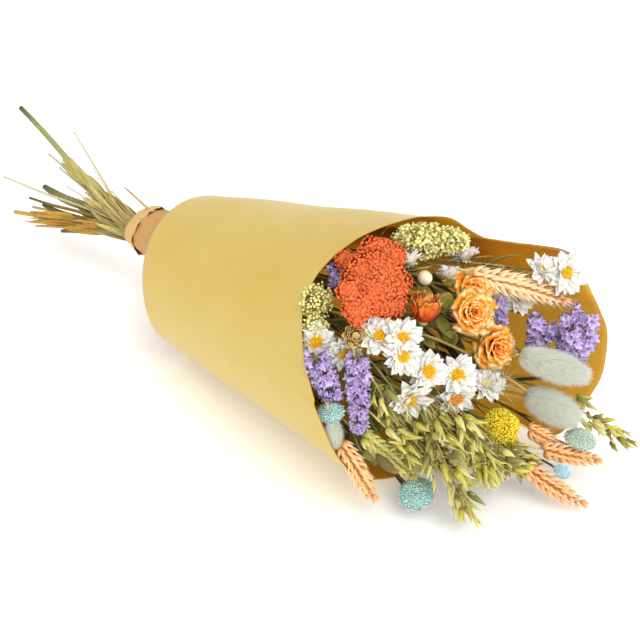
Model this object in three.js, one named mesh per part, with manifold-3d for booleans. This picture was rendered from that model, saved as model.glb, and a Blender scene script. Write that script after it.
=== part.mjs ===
// Bunch of mixed dried flowers lying on its side in a rolled kraft-paper sleeve.
// Millimetres, +Z up. The bunch lies along X: cut stems toward -X, flower heads toward +X.
// The layout below is written in a working frame whose X = 0 is near the middle of the sleeve and
// whose Z = 0 is the surface the sleeve lies on; the last lines set the origin under the middle.
import * as THREE from 'three';
import { mergeVertices } from 'three/addons/utils/BufferGeometryUtils.js';
import Module from 'manifold-3d';

const wasm = await Module();
wasm.setup();

// ---- driving dimensions -------------------------------------------------------------------
const SLEEVE_R0 = 83.85;        // half width of the sleeve at X = 0
const SLEEVE_TAPER = 0.134;     // growth of the half width per mm of length
const SLEEVE_FLAT = 0.86;       // height over width: the sleeve sags a little under its own load
const PAPER = 0.8;              // wall thickness of the paper solid
const REST_HALF_ANGLE = 8;      // degrees of the underside that lie flat on the surface
const GAP = 0.35;               // clearance kept between neighbouring pieces
const STEM_R = 1.0;             // stem half thickness in the bunch
const PEDICEL_R = 0.8;          // side stalk half thickness
const WAIST = [-212, 3, 58];    // centre of the tied waist of the bunch
const WAIST_HALF = 20;           // the stems run side by side for this far past the tie
const TIE = { x: -196.5, inner: 10.2, outer: 10.9, width: 4 };
const COLLAR = [                // paper collar: station x, centre z, outer half width, outer half height
  [-199, 58.8, 12.5, 12.5], [-193.5, 58.8, 12.5, 12.5], [-190, 62, 15.4, 15.4], [-184, 65, 18.2, 18.2],
  [-167, 65.9, 20.7, 20.7], [-148, 66.4, 23.5, 23.5], [-122, 65.8, 32, 31], [-98, 65, 46, 43], [-66, 64.2, 73.2, 62.7],
];
const COLLAR_Y = 3.4;           // sideways place of the collar at the waist
// mouth edge of the sleeve: angle about its axis (degrees from +Y toward +Z) and X of the edge
const RIM = [
  [-180, 151], [-173, 156], [-165, 160], [-157, 162], [-147, 165], [-135, 163], [-120, 158], [-105, 156], [-98, 155.5], [-90, 155],
  [-82, 155.5], [-72, 159], [-62, 167], [-54.5, 176], [-53.5, 206], [-50, 213], [-43, 215], [-34, 217], [-24, 219], [-14, 216.5],
  [-5, 213], [4, 205], [12, 198.5], [20, 194.5], [28, 193], [33, 192], [36, 188], [37.4, 181], [38.4, 132], [42, 124],
  [50, 121], [60, 124], [73, 127.5], [80, 121.5], [89, 117], [97, 111.5], [107, 107], [118, 106], [126, 106.5], [134, 109],
  [142, 113], [150, 120.5], [158, 129], [166, 138], [173, 145],
];

// every cut stem: place in the waist (y, z), end of the straight stem, optional free tail, heads
const STEMS = [
  { name: 'yarrow_coral_large', slot: [-0.14, 64.63], end: [107.7, -39.9, 148.1], fork: true, tail: [-274.1, -12, 106.1], tailR: 3.1, heads: [
      { kind: 'dome', at: [150, -52, 148.7], dir: [0.78, -0.48, 0.4], r: 22.6, h: 0.42 },
      { kind: 'dome', at: [138, -37.4, 167.6], dir: [0.78, -0.47, 0.42], r: 14.6, h: 0.42 },
    ] },
  { name: 'yarrow_coral_small', slot: [-2.5, 64.63], end: [113, -42.6, 154.8], stub: 10.5, heads: [
      { kind: 'dome', at: [113, -42.6, 154.8], dir: [0.78, -0.47, 0.41], r: 5.5, h: 0.5 },
    ] },
  { name: 'bud_spray_top', slot: [4.58, 64.63], end: [105.1, 4.7, 153.1], fork: true, stub: 10.1, heads: [
      { kind: 'ball', at: [137, -4.8, 166.4], dir: [0.95, -0.23, 0.19], r: 11, h: 0.75 },
      { kind: 'ball', at: [146, 14.3, 161.5], dir: [0.95, -0.23, 0.19], r: 13.8, h: 0.6 },
    ] },
  { name: 'bud_spray_left', slot: [-3.68, 62.59], end: [85.8, -69.1, 123.5], fork: true, stub: 9.6, heads: [
      { kind: 'ball', at: [118, -74, 138.3], dir: [0.95, -0.23, 0.19], r: 7.7, h: 1 },
      { kind: 'ball', at: [126, -81.2, 124.6], dir: [0.95, -0.23, 0.19], r: 6.4, h: 0.8 },
    ] },
  { name: 'daisy_pair_left', slot: [-2.5, 60.54], end: [102, -71.5, 109.8], fork: true, stub: 9.2, heads: [
      { kind: 'disc', at: [131, -84.8, 118.5], dir: [0.78, -0.51, 0.37], r: 10.1 },
      { kind: 'disc', at: [146, -75.3, 113.3], dir: [0.92, -0.36, -0.17], r: 10.1 },
    ] },
  { name: 'daisy_trio_upper', slot: [-0.14, 60.54], end: [128.5, -47.7, 117.1], fork: true, stub: 8.7, heads: [
      { kind: 'disc', at: [160, -58.4, 123.6], dir: [0.65, -0.2, 0.73], r: 10.7 },
      { kind: 'disc', at: [171, -48.1, 123.6], dir: [0.78, -0.5, 0.39], r: 9.7 },
    ] },
  { name: 'daisy_mid_left', slot: [1.04, 58.5], end: [176, -51.8, 114.1], stub: 8.3, heads: [
      { kind: 'disc', at: [176, -51.8, 114.1], dir: [0.78, -0.51, 0.37], r: 9.4 },
    ] },
  { name: 'daisy_centre', slot: [3.4, 58.5], end: [148.8, -22.8, 92.4], fork: true, tail: [-407.5, -8, 49.5], tailR: 1.2, heads: [
      { kind: 'disc', at: [184, -36.9, 100.9], dir: [0.78, -0.51, 0.36], r: 10.8 },
      { kind: 'disc', at: [189, -14.6, 91.4], dir: [0.79, -0.52, 0.33], r: 11.6 },
    ] },
  { name: 'daisy_half_open', slot: [4.58, 56.46], end: [188, 16.3, 71.9], tail: [-369.8, 14, 44.6], tailR: 3.4, heads: [
      { kind: 'disc', at: [188, 16.3, 71.9], dir: [0.99, 0.05, 0.13], r: 10.7 },
    ] },
  { name: 'daisy_brown_centre', slot: [2.22, 56.46], end: [149.2, -24.5, 75.2], fork: true, tail: [-360.9, -8, 42.2], tailR: 1.5, heads: [
      { kind: 'disc', at: [190, -16.5, 76], dir: [0.92, -0.36, -0.17], r: 11.7 },
      { kind: 'ball', at: [184, -38.4, 78.5], dir: [0.95, -0.23, 0.19], r: 3.9, h: 0.9 },
    ] },
  { name: 'daisy_front_pair', slot: [-0.14, 56.46], end: [180, -48.2, 82.9], stub: 6.5, heads: [
      { kind: 'disc', at: [180, -48.2, 82.9], dir: [0.92, -0.36, -0.17], r: 10.8 },
    ] },
  { name: 'daisy_top_right', slot: [8.12, 62.59], end: [154.2, 68.1, 130.3], fork: true, stub: 6, heads: [
      { kind: 'disc', at: [196, 81.6, 135.9], dir: [0.83, -0.38, 0.41], r: 10 },
      { kind: 'disc', at: [186, 67.3, 139.1], dir: [0.65, -0.2, 0.73], r: 7.3 },
    ] },
  { name: 'daisy_edge_on', slot: [2.22, 64.63], end: [146, -16.3, 157.4], stub: 10.5, heads: [
      { kind: 'disc', at: [146, -16.3, 157.4], dir: [0.65, -0.2, 0.73], r: 7.1 },
    ] },
  { name: 'daisy_shaded_pair', slot: [6.94, 64.63], end: [116, 18.6, 139.6], fork: true, tail: [-337.2, 32, 104.4], tailR: 1, heads: [
      { kind: 'disc', at: [150, 30.4, 147], dir: [0.65, -0.2, 0.73], r: 8.7 },
      { kind: 'disc', at: [156, 9.7, 142.6], dir: [0.65, -0.2, 0.73], r: 7.2 },
    ] },
  { name: 'daisy_shaded_low', slot: [9.3, 60.54], end: [172, 60.9, 115], stub: 9.6, heads: [
      { kind: 'disc', at: [172, 60.9, 115], dir: [0.65, -0.2, 0.73], r: 8.2 },
    ] },
  { name: 'bud_cream', slot: [3.4, 62.59], end: [155, -12.1, 147.9], stub: 9.2, heads: [
      { kind: 'ball', at: [155, -12.1, 147.9], dir: [0.95, -0.23, 0.19], r: 5.5, h: 0.9 },
    ] },
  { name: 'strawflower_tan', slot: [-1.32, 62.59], end: [154, -71.8, 126.8], stub: 8.7, heads: [
      { kind: 'cup', at: [154, -71.8, 126.8], dir: [0.78, -0.5, 0.38], r: 6.9 },
    ] },
  { name: 'rose_upper', slot: [4.58, 60.54], end: [182, 6.5, 127.2], tail: [-352.1, 12, 83.6], tailR: 1.2, heads: [
      { kind: 'rose', at: [182, 6.5, 127.2], dir: [0.8, -0.42, 0.44], r: 12.6 },
    ] },
  { name: 'rose_lower', slot: [5.76, 58.5], end: [187, 26.2, 95.3], tail: [-351.9, 22, 67.2], tailR: 1.4, heads: [
      { kind: 'rose', at: [187, 26.2, 95.3], dir: [0.91, -0.32, 0.26], r: 12.6 },
    ] },
  { name: 'rose_back', slot: [6.94, 60.54], end: [170.5, 18.5, 136], stub: 7.4, heads: [
      { kind: 'rose', at: [170.5, 18.5, 136], dir: [0.65, -0.2, 0.73], r: 8.7 },
    ] },
  { name: 'rose_bud', slot: [2.22, 60.54], end: [168, -25.9, 136.7], stub: 6.9, heads: [
      { kind: 'rose', at: [168, -25.9, 136.7], dir: [-0.02, 0.15, 0.99], r: 8.9 },
    ] },
  { name: 'statice_left_low', slot: [-4.86, 60.54], end: [146, -94.8, 113.5], stub: 6.5, heads: [
      { kind: 'stat', at: [146, -94.8, 113.5], dir: [0.13, 0.33, -0.93], r: 6.9, len: 30.5 },
    ] },
  { name: 'statice_left_tall', slot: [-3.68, 58.5], end: [160, -78.1, 113], stub: 6, heads: [
      { kind: 'stat', at: [160, -78.1, 113], dir: [0.06, -0.02, -1], r: 6.3, len: 51.5 },
    ] },
  { name: 'statice_deep_left', slot: [1.04, 62.59], end: [110, -34, 129.8], stub: 10.5, heads: [
      { kind: 'stat', at: [110, -34, 129.8], dir: [0.09, -0.45, 0.89], r: 4.9, len: 22.7 },
    ] },
  { name: 'statice_mid', slot: [8.12, 58.5], end: [170, 48.5, 97.1], stub: 10.1, heads: [
      { kind: 'stat', at: [170, 48.5, 97.1], dir: [0.08, -0.18, 0.98], r: 4.1, len: 25.8 },
    ] },
  { name: 'statice_right_near', slot: [10.48, 58.5], end: [188, 66.3, 84.6], stub: 9.6, heads: [
      { kind: 'stat', at: [188, 66.3, 84.6], dir: [0.21, 0.18, 0.96], r: 8.9, len: 19 },
    ] },
  { name: 'statice_right_far', slot: [10.48, 54.41], end: [205, 85.1, 69.7], stub: 9.2, heads: [
      { kind: 'stat', at: [205, 85.1, 69.7], dir: [0.12, -0.12, 0.99], r: 13.6, len: 43.3 },
    ] },
  { name: 'wheat_top', slot: [5.76, 62.59], end: [166, 19.7, 145.9], tail: [-410.4, 20, 111.9], tailR: 2.9, heads: [
      { kind: 'ear', at: [166, 19.7, 145.9], dir: [0.41, 0.83, -0.38], r: 6.3, len: 83.9 },
    ] },
  { name: 'wheat_front_left', slot: [-3.68, 54.41], end: [160, -90.3, 58.2], stub: 8.3, heads: [
      { kind: 'ear', at: [160, -90.3, 58.2], dir: [0.35, 0.31, -0.88], r: 5.5, len: 50.8 },
    ] },
  { name: 'wheat_right_a', slot: [5.76, 54.41], end: [216, 28.1, 45.5], stub: 7.8, heads: [
      { kind: 'ear', at: [216, 28.1, 45.5], dir: [0.47, 0.68, -0.57], r: 5, len: 25.8 },
    ] },
  { name: 'wheat_right_b', slot: [6.94, 52.37], end: [228, 29.5, 34], stub: 7.4, heads: [
      { kind: 'ear', at: [228, 29.5, 34], dir: [0.51, 0.8, -0.31], r: 5.4, len: 47.2 },
    ] },
  { name: 'wheat_right_c', slot: [3.4, 50.32], end: [228, 12.8, 28], stub: 6.9, heads: [
      { kind: 'ear', at: [228, 12.8, 28], dir: [0.8, 0.4, -0.44], r: 5.6, len: 49.7 },
    ] },
  { name: 'wheat_green', slot: [-2.5, 52.37], end: [164, -75.6, 60.6], stub: 6.5, heads: [
      { kind: 'ear', at: [164, -75.6, 60.6], dir: [0.5, 0.53, -0.68], r: 4.9, len: 51.5 },
    ] },
  { name: 'harestail_upper', slot: [6.94, 56.46], end: [203, 30.8, 95], stub: 6, heads: [
      { kind: 'ear', at: [203, 30.8, 95], dir: [0.57, 0.73, -0.37], r: 9.6, len: 53.9 },
    ] },
  { name: 'harestail_lower', slot: [8.12, 54.41], end: [203, 39.5, 62.3], stub: 10.5, heads: [
      { kind: 'ear', at: [203, 39.5, 62.3], dir: [0.83, 0.44, -0.34], r: 10.4, len: 40.8 },
    ] },
  { name: 'harestail_small', slot: [-4.86, 56.46], end: [155, -93.6, 75.3], stub: 10.1, heads: [
      { kind: 'ear', at: [155, -93.6, 75.3], dir: [0.14, 0.08, -0.99], r: 5.1, len: 20.7 },
    ] },
  { name: 'oat_left', slot: [-1.32, 58.5], end: [168, -65.3, 92.6], stub: 9.6, heads: [
      { kind: 'ear', at: [168, -65.3, 92.6], dir: [0.23, 0.37, -0.9], r: 6.4, len: 35.2 },
    ] },
  { name: 'oat_front_left', slot: [-1.32, 54.41], end: [176, -65.2, 66.4], tail: [-329.6, -22, 27.8], tailR: 1.2, heads: [
      { kind: 'ear', at: [176, -65.2, 66.4], dir: [0.42, 0.46, -0.78], r: 7.7, len: 47.2 },
    ] },
  { name: 'oat_front_long', slot: [1.04, 54.41], end: [188, -42.2, 72.1], tail: [-367, -22, 29.9], tailR: 2.2, heads: [
      { kind: 'ear', at: [188, -42.2, 72.1], dir: [0.61, -0.02, -0.79], r: 8.3, len: 75.5 },
    ] },
  { name: 'oat_centre', slot: [3.4, 54.41], end: [198, -22.5, 66.2], tail: [-375.5, 2, 25.5], tailR: 1.5, heads: [
      { kind: 'ear', at: [198, -22.5, 66.2], dir: [0.51, 0.22, -0.83], r: 9.1, len: 55.4 },
    ] },
  { name: 'oat_right_low', slot: [2.22, 52.37], end: [216, -2.5, 40], stub: 7.8, heads: [
      { kind: 'ear', at: [216, -2.5, 40], dir: [0.33, 0.74, -0.59], r: 6.6, len: 41.9 },
    ] },
  { name: 'oat_far_right', slot: [9.3, 56.46], end: [228, 59, 57], stub: 7.4, heads: [
      { kind: 'ear', at: [228, 59, 57], dir: [0.49, 0.61, -0.62], r: 6.8, len: 57.2 },
    ] },
  { name: 'yellow_globe', slot: [4.58, 52.37], end: [207, 10.8, 49.4], stub: 6.9, heads: [
      { kind: 'ball', at: [207, 10.8, 49.4], dir: [0.95, -0.23, 0.19], r: 11.3, h: 1 },
    ] },
  { name: 'button_left', slot: [-2.5, 56.46], end: [152, -90.8, 76.4], stub: 6.5, heads: [
      { kind: 'dome', at: [152, -90.8, 76.4], dir: [0.1, -0.23, 0.97], r: 8.6, h: 0.6 },
    ] },
  { name: 'button_front', slot: [1.04, 50.32], end: [192, -50.8, 15.8], tail: [-300.4, -12, 29.4], tailR: 1.9, heads: [
      { kind: 'dome', at: [192, -50.8, 15.8], dir: [0.07, -0.39, 0.92], r: 11.5, h: 0.6 },
    ] },
  { name: 'button_right', slot: [9.3, 52.37], end: [240, 55.6, 34.8], stub: 10.5, heads: [
      { kind: 'dome', at: [240, 55.6, 34.8], dir: [0.13, 0.02, 0.99], r: 10.4, h: 0.5 },
    ] },
  { name: 'button_right_low', slot: [5.76, 50.32], end: [243, 34.7, 20.8], stub: 10.1, heads: [
      { kind: 'dome', at: [243, 34.7, 20.8], dir: [0.34, -0.17, 0.92], r: 5.7, h: 0.7 },
    ] },
];

// ---- small helpers ------------------------------------------------------------------------
const rad = THREE.MathUtils.degToRad;
const V = (a) => new THREE.Vector3(a[0], a[1], a[2]);
const halfWidth = (x) => SLEEVE_R0 + SLEEVE_TAPER * x;
const material = (color, roughness) => new THREE.MeshStandardMaterial({ color, roughness, metalness: 0 });

function solidOf(geometry) {
  let g = geometry.clone();
  g.deleteAttribute('normal');
  g.deleteAttribute('uv');
  g = mergeVertices(g, 1e-4);
  return new wasm.Manifold(new wasm.Mesh({
    numProp: 3,
    vertProperties: new Float32Array(g.attributes.position.array),
    triVerts: new Uint32Array(g.index.array),
  }));
}

function geometryOf(solid) {
  const m = solid.getMesh();
  const g = new THREE.BufferGeometry();
  const n = m.vertProperties.length / m.numProp;
  const p = new Float32Array(n * 3);
  for (let i = 0; i < n; i++) for (let k = 0; k < 3; k++) p[3 * i + k] = m.vertProperties[i * m.numProp + k];
  g.setAttribute('position', new THREE.BufferAttribute(p, 3));
  g.setIndex(new THREE.BufferAttribute(new Uint32Array(m.triVerts), 1));
  g.computeVertexNormals();
  return g;
}

// closed skin over rings of points, first and last ring capped by a fan, or joined end to end
function skin(rings, closed = false) {
  const n = rings[0].length;
  const pos = [];
  rings.forEach((r) => r.forEach((p) => pos.push(p.x, p.y, p.z)));
  const idx = [];
  const m = rings.length;
  for (let i = 0; i < (closed ? m : m - 1); i++) {
    const i2 = (i + 1) % m;
    for (let j = 0; j < n; j++) {
      const j2 = (j + 1) % n;
      const a = i * n + j, b = i * n + j2, c = i2 * n + j2, d = i2 * n + j;
      idx.push(a, b, c, a, c, d);
    }
  }
  if (!closed) {
    for (let j = 1; j < n - 1; j++) {
      idx.push(0, j + 1, j);
      const o = (m - 1) * n;
      idx.push(o, o + j, o + j + 1);
    }
  }
  const g = new THREE.BufferGeometry();
  g.setAttribute('position', new THREE.Float32BufferAttribute(pos, 3));
  g.setIndex(idx);
  return g;
}

function frameOf(dir) {
  const w = dir.clone().normalize();
  const helper = Math.abs(w.z) < 0.9 ? new THREE.Vector3(0, 0, 1) : new THREE.Vector3(0, 1, 0);
  const u = new THREE.Vector3().crossVectors(helper, w).normalize();
  const v = new THREE.Vector3().crossVectors(w, u);
  return { u, v, w };
}

// round stalk through points with a half thickness at each of them
function stalk(points, radii, sides = 5) {
  const rings = points.map((p, i) => {
    const a = points[Math.max(i - 1, 0)], b = points[Math.min(i + 1, points.length - 1)];
    const { u, v } = frameOf(b.clone().sub(a));
    return Array.from({ length: sides }, (_, k) => {
      const t = (2 * Math.PI * k) / sides;
      return p.clone().addScaledVector(u, radii[i] * Math.cos(t)).addScaledVector(v, radii[i] * Math.sin(t));
    });
  });
  return skin(rings);
}

// body of revolution about an axis: outline rows are [distance along the axis, half width]
function turned(at, dir, outline, sides) {
  const { u, v, w } = frameOf(V(dir));
  const c = V(at);
  const rings = outline.map(([z, r], i) => Array.from({ length: sides }, (_, k) => {
    const t = (2 * Math.PI * (k + (i % 2) * 0.0)) / sides;
    return c.clone().addScaledVector(w, z).addScaledVector(u, r * Math.cos(t)).addScaledVector(v, r * Math.sin(t));
  }));
  return skin(rings);
}

// outline of each kind of flower head, grown by g all round
const OUTLINES = {
  dome: (h, g) => {
    const t = h.r * h.h;
    return [[-t * 0.9 - g, h.r * 0.25 + g], [-t * 0.35 - g, h.r * 0.85 + g], [t * 0.1, h.r + g], [t * 0.6 + g, h.r * 0.78 + g], [t * 0.95 + g, h.r * 0.3 + g]];
  },
  ball: (h, g) => {
    const t = h.r * h.h;
    return [-0.96, -0.62, 0, 0.62, 0.96].map((s) => [(t + g) * s, (h.r + g) * Math.sqrt(1 - s * s)]);
  },
  disc: (h, g) => [[-h.r * 0.42 - g, h.r * 0.16 + g], [-h.r * 0.1 - g, h.r * 0.62 + g], [h.r * 0.02, h.r * 0.97 + g], [h.r * 0.14 + g, h.r * 0.6 + g], [h.r * 0.24 + g, h.r * 0.3 + g]],
  cup: (h, g) => [[-h.r * 0.8 - g, h.r * 0.25 + g], [-h.r * 0.3, h.r * 0.8 + g], [h.r * 0.35 + g, h.r * 0.97 + g], [h.r * 0.5 + g, h.r * 0.5 + g]],
  rose: (h, g) => [[-h.r * 0.95 - g, h.r * 0.22 + g], [-h.r * 0.55, h.r * 0.72 + g], [h.r * 0.05, h.r * 0.98 + g], [h.r * 0.5 + g, h.r * 0.9 + g], [h.r * 0.68 + g, h.r * 0.5 + g]],
  ear: (h, g) => [[-1 - g, 1.2 + g], [h.len * 0.14, h.r * 0.8 + g], [h.len * 0.42, h.r + g], [h.len * 0.74, h.r * 0.8 + g], [h.len * 0.98 + g, h.r * 0.28 + g]],
  stat: (h, g) => [[-1 - g, 1.6 + g], [h.len * 0.18, h.r * 0.78 + g], [h.len * 0.5, h.r + g], [h.len * 0.82, h.r * 0.85 + g], [h.len * 1.0 + g, h.r * 0.4 + g]],
};
const SIDES = { dome: 9, ball: 7, disc: 8, cup: 8, rose: 8, ear: 7, stat: 7 };
const headSolid = (h, g = 0) => solidOf(turned(h.at, h.dir, OUTLINES[h.kind](h, g), SIDES[h.kind]));
const SHADES = {
  yarrow: [0xe7733e, 0.9], bud: [0xd9cc7d, 0.85], daisy: [0xf2efe6, 0.6], strawflower: [0xcfa86a, 0.7], rose: [0xed9a36, 0.7],
  statice: [0xad95c8, 0.75], wheat: [0xf3c794, 0.75], harestail: [0xd4d5bd, 0.95], oat: [0xa3974e, 0.7], yellow: [0xe1c341, 0.9], button: [0x8ccbc4, 0.9],
};

// ---- wrapper ------------------------------------------------------------------------------
// Each column of the paper runs straight from the narrow end to the mouth edge.
const narrowEnd = (a) => {
  const d = ((a - 122 + 540) % 360) - 180;      // the near upper edge reaches a little further back
  return -99.7 - 19.7 * Math.cos(rad(a)) - 7.2 * Math.sin(rad(a)) - 10.5 * Math.exp(-(d * d) / 1800);
};
function wall(angle, x, inset) {
  const r = halfWidth(x);
  const c = Math.cos(rad(angle)), s = Math.sin(rad(angle));
  const y = (r - inset) * c;
  let z = SLEEVE_FLAT * r + (SLEEVE_FLAT * r - inset) * s;
  const flat = Math.abs(angle + 90) <= REST_HALF_ANGLE + 0.01;
  const lift = SLEEVE_FLAT * r * (1 - Math.cos(rad(REST_HALF_ANGLE)));
  z = (z - lift);                      // the flat strip sits at Z = 0, the rest follows the oval
  if (flat) z = Math.max(inset, 0);
  return new THREE.Vector3(y === 0 ? 0 : x, y, Math.max(z, Math.max(inset, 0)));
}
function sleeveGeometry(grow = 0) {
  const stations = [0, 0.3, 0.62, 1];
  const rings = RIM.map(([angle, rimX]) => {
    const x0 = narrowEnd(angle) - grow, x1 = rimX + grow;
    const outer = stations.map((s) => { const x = x0 + (x1 - x0) * s; const p = wall(angle, x, -grow); return new THREE.Vector3(x, p.y, grow > 0 ? p.z - grow : p.z); });
    const inner = stations.map((s) => { const x = x1 + (x0 - x1) * s; const p = wall(angle, x, PAPER + grow); return new THREE.Vector3(x, p.y, p.z); });
    return [...outer, ...inner];
  });
  return skin(rings, true);
}
function outward(geometry) {           // turn the faces if the skin came out inside out
  const p = geometry.attributes.position, i = geometry.index.array;
  let v = 0;
  const a = new THREE.Vector3(), b = new THREE.Vector3(), c = new THREE.Vector3();
  for (let k = 0; k < i.length; k += 3) {
    a.fromBufferAttribute(p, i[k]); b.fromBufferAttribute(p, i[k + 1]); c.fromBufferAttribute(p, i[k + 2]);
    v += a.dot(b.cross(c));
  }
  if (v < 0) { const j = Array.from(i); for (let k = 0; k < j.length; k += 3) [j[k + 1], j[k + 2]] = [j[k + 2], j[k + 1]]; geometry.setIndex(j); }
  return geometry;
}
const sleeve = solidOf(outward(sleeveGeometry()));
const sleeveGrown = solidOf(outward(sleeveGeometry(GAP)));

// paper collar: a thin funnel from the tied waist out to the inside of the sleeve
function collarGeometry(grow = 0) {
  const sides = 18;
  const outer = COLLAR.map(([x, z, ry, rz]) => Array.from({ length: sides }, (_, k) => {
    const t = (2 * Math.PI * k) / sides;
    return new THREE.Vector3(x, COLLAR_Y * Math.min(1, (-66 - x) / 124) + (ry + grow) * Math.cos(t), z + (rz + grow) * Math.sin(t));
  }));
  const inner = COLLAR.slice().reverse().map(([x, z, ry, rz]) => Array.from({ length: sides }, (_, k) => {
    const t = (2 * Math.PI * k) / sides, w = PAPER + grow;
    return new THREE.Vector3(x, COLLAR_Y * Math.min(1, (-66 - x) / 124) + (ry - w) * Math.cos(t), z + (rz - w) * Math.sin(t));
  }));
  return skin([...outer, ...inner], true);
}

// ring of twine around the waist
function tieGeometry() {
  const sides = 14, h = TIE.width / 2;
  const rows = [[-h, TIE.inner], [-h, TIE.outer], [h, TIE.outer], [h, TIE.inner]];
  const rings = rows.map(([x, r]) => Array.from({ length: sides }, (_, k) => {
    const t = (2 * Math.PI * k) / sides;
    return new THREE.Vector3(TIE.x + x, WAIST[1] + 0.4 + r * Math.cos(t), WAIST[2] + 0.5 + r * Math.sin(t));
  }));
  return skin(rings, true);
}

// ---- stems --------------------------------------------------------------------------------
function stemSolid(s, g = 0) {
  const waist = new THREE.Vector3(WAIST[0] + WAIST_HALF, s.slot[0], s.slot[1]);
  const end = V(s.end);
  const back = s.tail ? 12 : s.stub;
  const pts = [end, waist, new THREE.Vector3(WAIST[0] - back, s.slot[0], s.slot[1])];
  const radii = [STEM_R + g, STEM_R + g, STEM_R + g];
  if (s.tail) {
    const out = pts[2], tip = V(s.tail);
    pts.push(out.clone().lerp(tip, 0.2), out.clone().lerp(tip, 0.42), tip);
    radii.push(Math.min(STEM_R, s.tailR) + g, s.tailR + g, s.tailR * 0.8 + g);
  }
  let solid = solidOf(outward(stalk(pts, radii)));
  if (s.fork) {
    for (const h of s.heads) {
      const a = end.clone().lerp(waist, 0.004);
      solid = solid.add(solidOf(outward(stalk([a, V(h.at)], [PEDICEL_R + g, PEDICEL_R + g]))));
    }
  }
  return solid;
}
const stems = STEMS.map((s) => stemSolid(s));
const stemsGrown = STEMS.map((s) => stemSolid(s, GAP));

function boxesMeet(a, b) {
  const p = a.boundingBox(), q = b.boundingBox();
  return [0, 1, 2].every((k) => p.min[k] < q.max[k] && q.min[k] < p.max[k]);
}
const floorBlock = solidOf(new THREE.BoxGeometry(1400, 800, 100).translate(0, 0, -49.4));

const pieces = [];
const headsDone = [];
// heads nearest the mouth keep their full shape; the ones behind give way to them
const order = STEMS.map((s, i) => i).sort((a, b) => STEMS[b].heads[0].at[0] - STEMS[a].heads[0].at[0]);
for (const i of order) {
  const s = STEMS[i];
  let body = stems[i];
  for (const h of s.heads) body = body.add(headSolid(h));
  for (let j = 0; j < STEMS.length; j++) {
    if (j !== i && boxesMeet(stemsGrown[j], body)) {
      // a neighbour's stem cuts a channel through the head, never through the stem
      let cut = stemsGrown[j];
      body = body.subtract(cut);
    }
  }
  for (const h of headsDone) if (boxesMeet(h, body)) body = body.subtract(h);
  body = body.subtract(sleeveGrown).subtract(floorBlock);
  body = body.add(stems[i]);
  // keep the piece that the stem belongs to
  let best = null, bestV = -1;
  for (const part of body.decompose()) { const v = part.volume(); if (v > bestV) { best = part; bestV = v; } }
  body = best;
  pieces.push({ name: s.name, solid: body });
  for (const h of s.heads) headsDone.push(headSolid(h, GAP));
}

// ---- scene graph --------------------------------------------------------------------------
const bouquet = new THREE.Group();
const add = (name, geometry, mat) => { const m = new THREE.Mesh(geometry, mat); m.name = name; bouquet.add(m); return m; };
add('wrapper_sleeve', geometryOf(sleeve), material(0xe4c773, 0.8));
add('stem_collar', outward(collarGeometry()), material(0xd4a465, 0.85));
add('binding_tie', outward(tieGeometry()), material(0xb79a6a, 0.9));
for (const p of pieces) {
  const [c, r] = SHADES[p.name.split('_')[0]];
  add(p.name, geometryOf(p.solid), material(c, r));
}

const box = new THREE.Box3().setFromObject(bouquet);
const root = new THREE.Group();
const tenth = (v) => Math.round(v * 10) / 10;
bouquet.position.set(tenth(-(box.min.x + box.max.x) / 2), tenth(-(box.min.y + box.max.y) / 2), tenth(-box.min.z));
root.add(bouquet);
root.updateMatrixWorld(true);

export default root;
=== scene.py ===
# Mixed dried flower bouquet in a rolled kraft-paper sleeve, lying on its side.
# The layout numbers are in millimetres in the working frame of the CAD part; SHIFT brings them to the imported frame.
import bpy
import math
import zlib
import numpy as np
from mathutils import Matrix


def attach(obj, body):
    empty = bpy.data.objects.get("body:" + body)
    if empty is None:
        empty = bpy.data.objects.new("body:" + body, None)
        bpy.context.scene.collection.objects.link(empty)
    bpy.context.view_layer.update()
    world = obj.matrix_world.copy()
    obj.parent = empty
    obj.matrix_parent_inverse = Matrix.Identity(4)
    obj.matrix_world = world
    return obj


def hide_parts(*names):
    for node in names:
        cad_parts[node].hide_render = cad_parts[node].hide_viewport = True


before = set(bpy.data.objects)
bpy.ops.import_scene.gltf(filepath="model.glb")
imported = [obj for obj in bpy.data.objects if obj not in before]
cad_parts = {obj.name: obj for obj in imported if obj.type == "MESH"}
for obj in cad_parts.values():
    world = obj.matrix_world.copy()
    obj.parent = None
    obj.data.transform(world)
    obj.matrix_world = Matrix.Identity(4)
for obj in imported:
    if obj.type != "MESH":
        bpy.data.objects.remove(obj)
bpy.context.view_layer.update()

SHIFT = np.array([71.5, -3.9, 0.0])
WAIST = np.array([-212.0, 3.0, 58.0])
GOLD = 2.399963229728653
SLEEVE_R0, SLEEVE_TAPER, FLATK = 83.85, 0.134, 0.86

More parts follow.
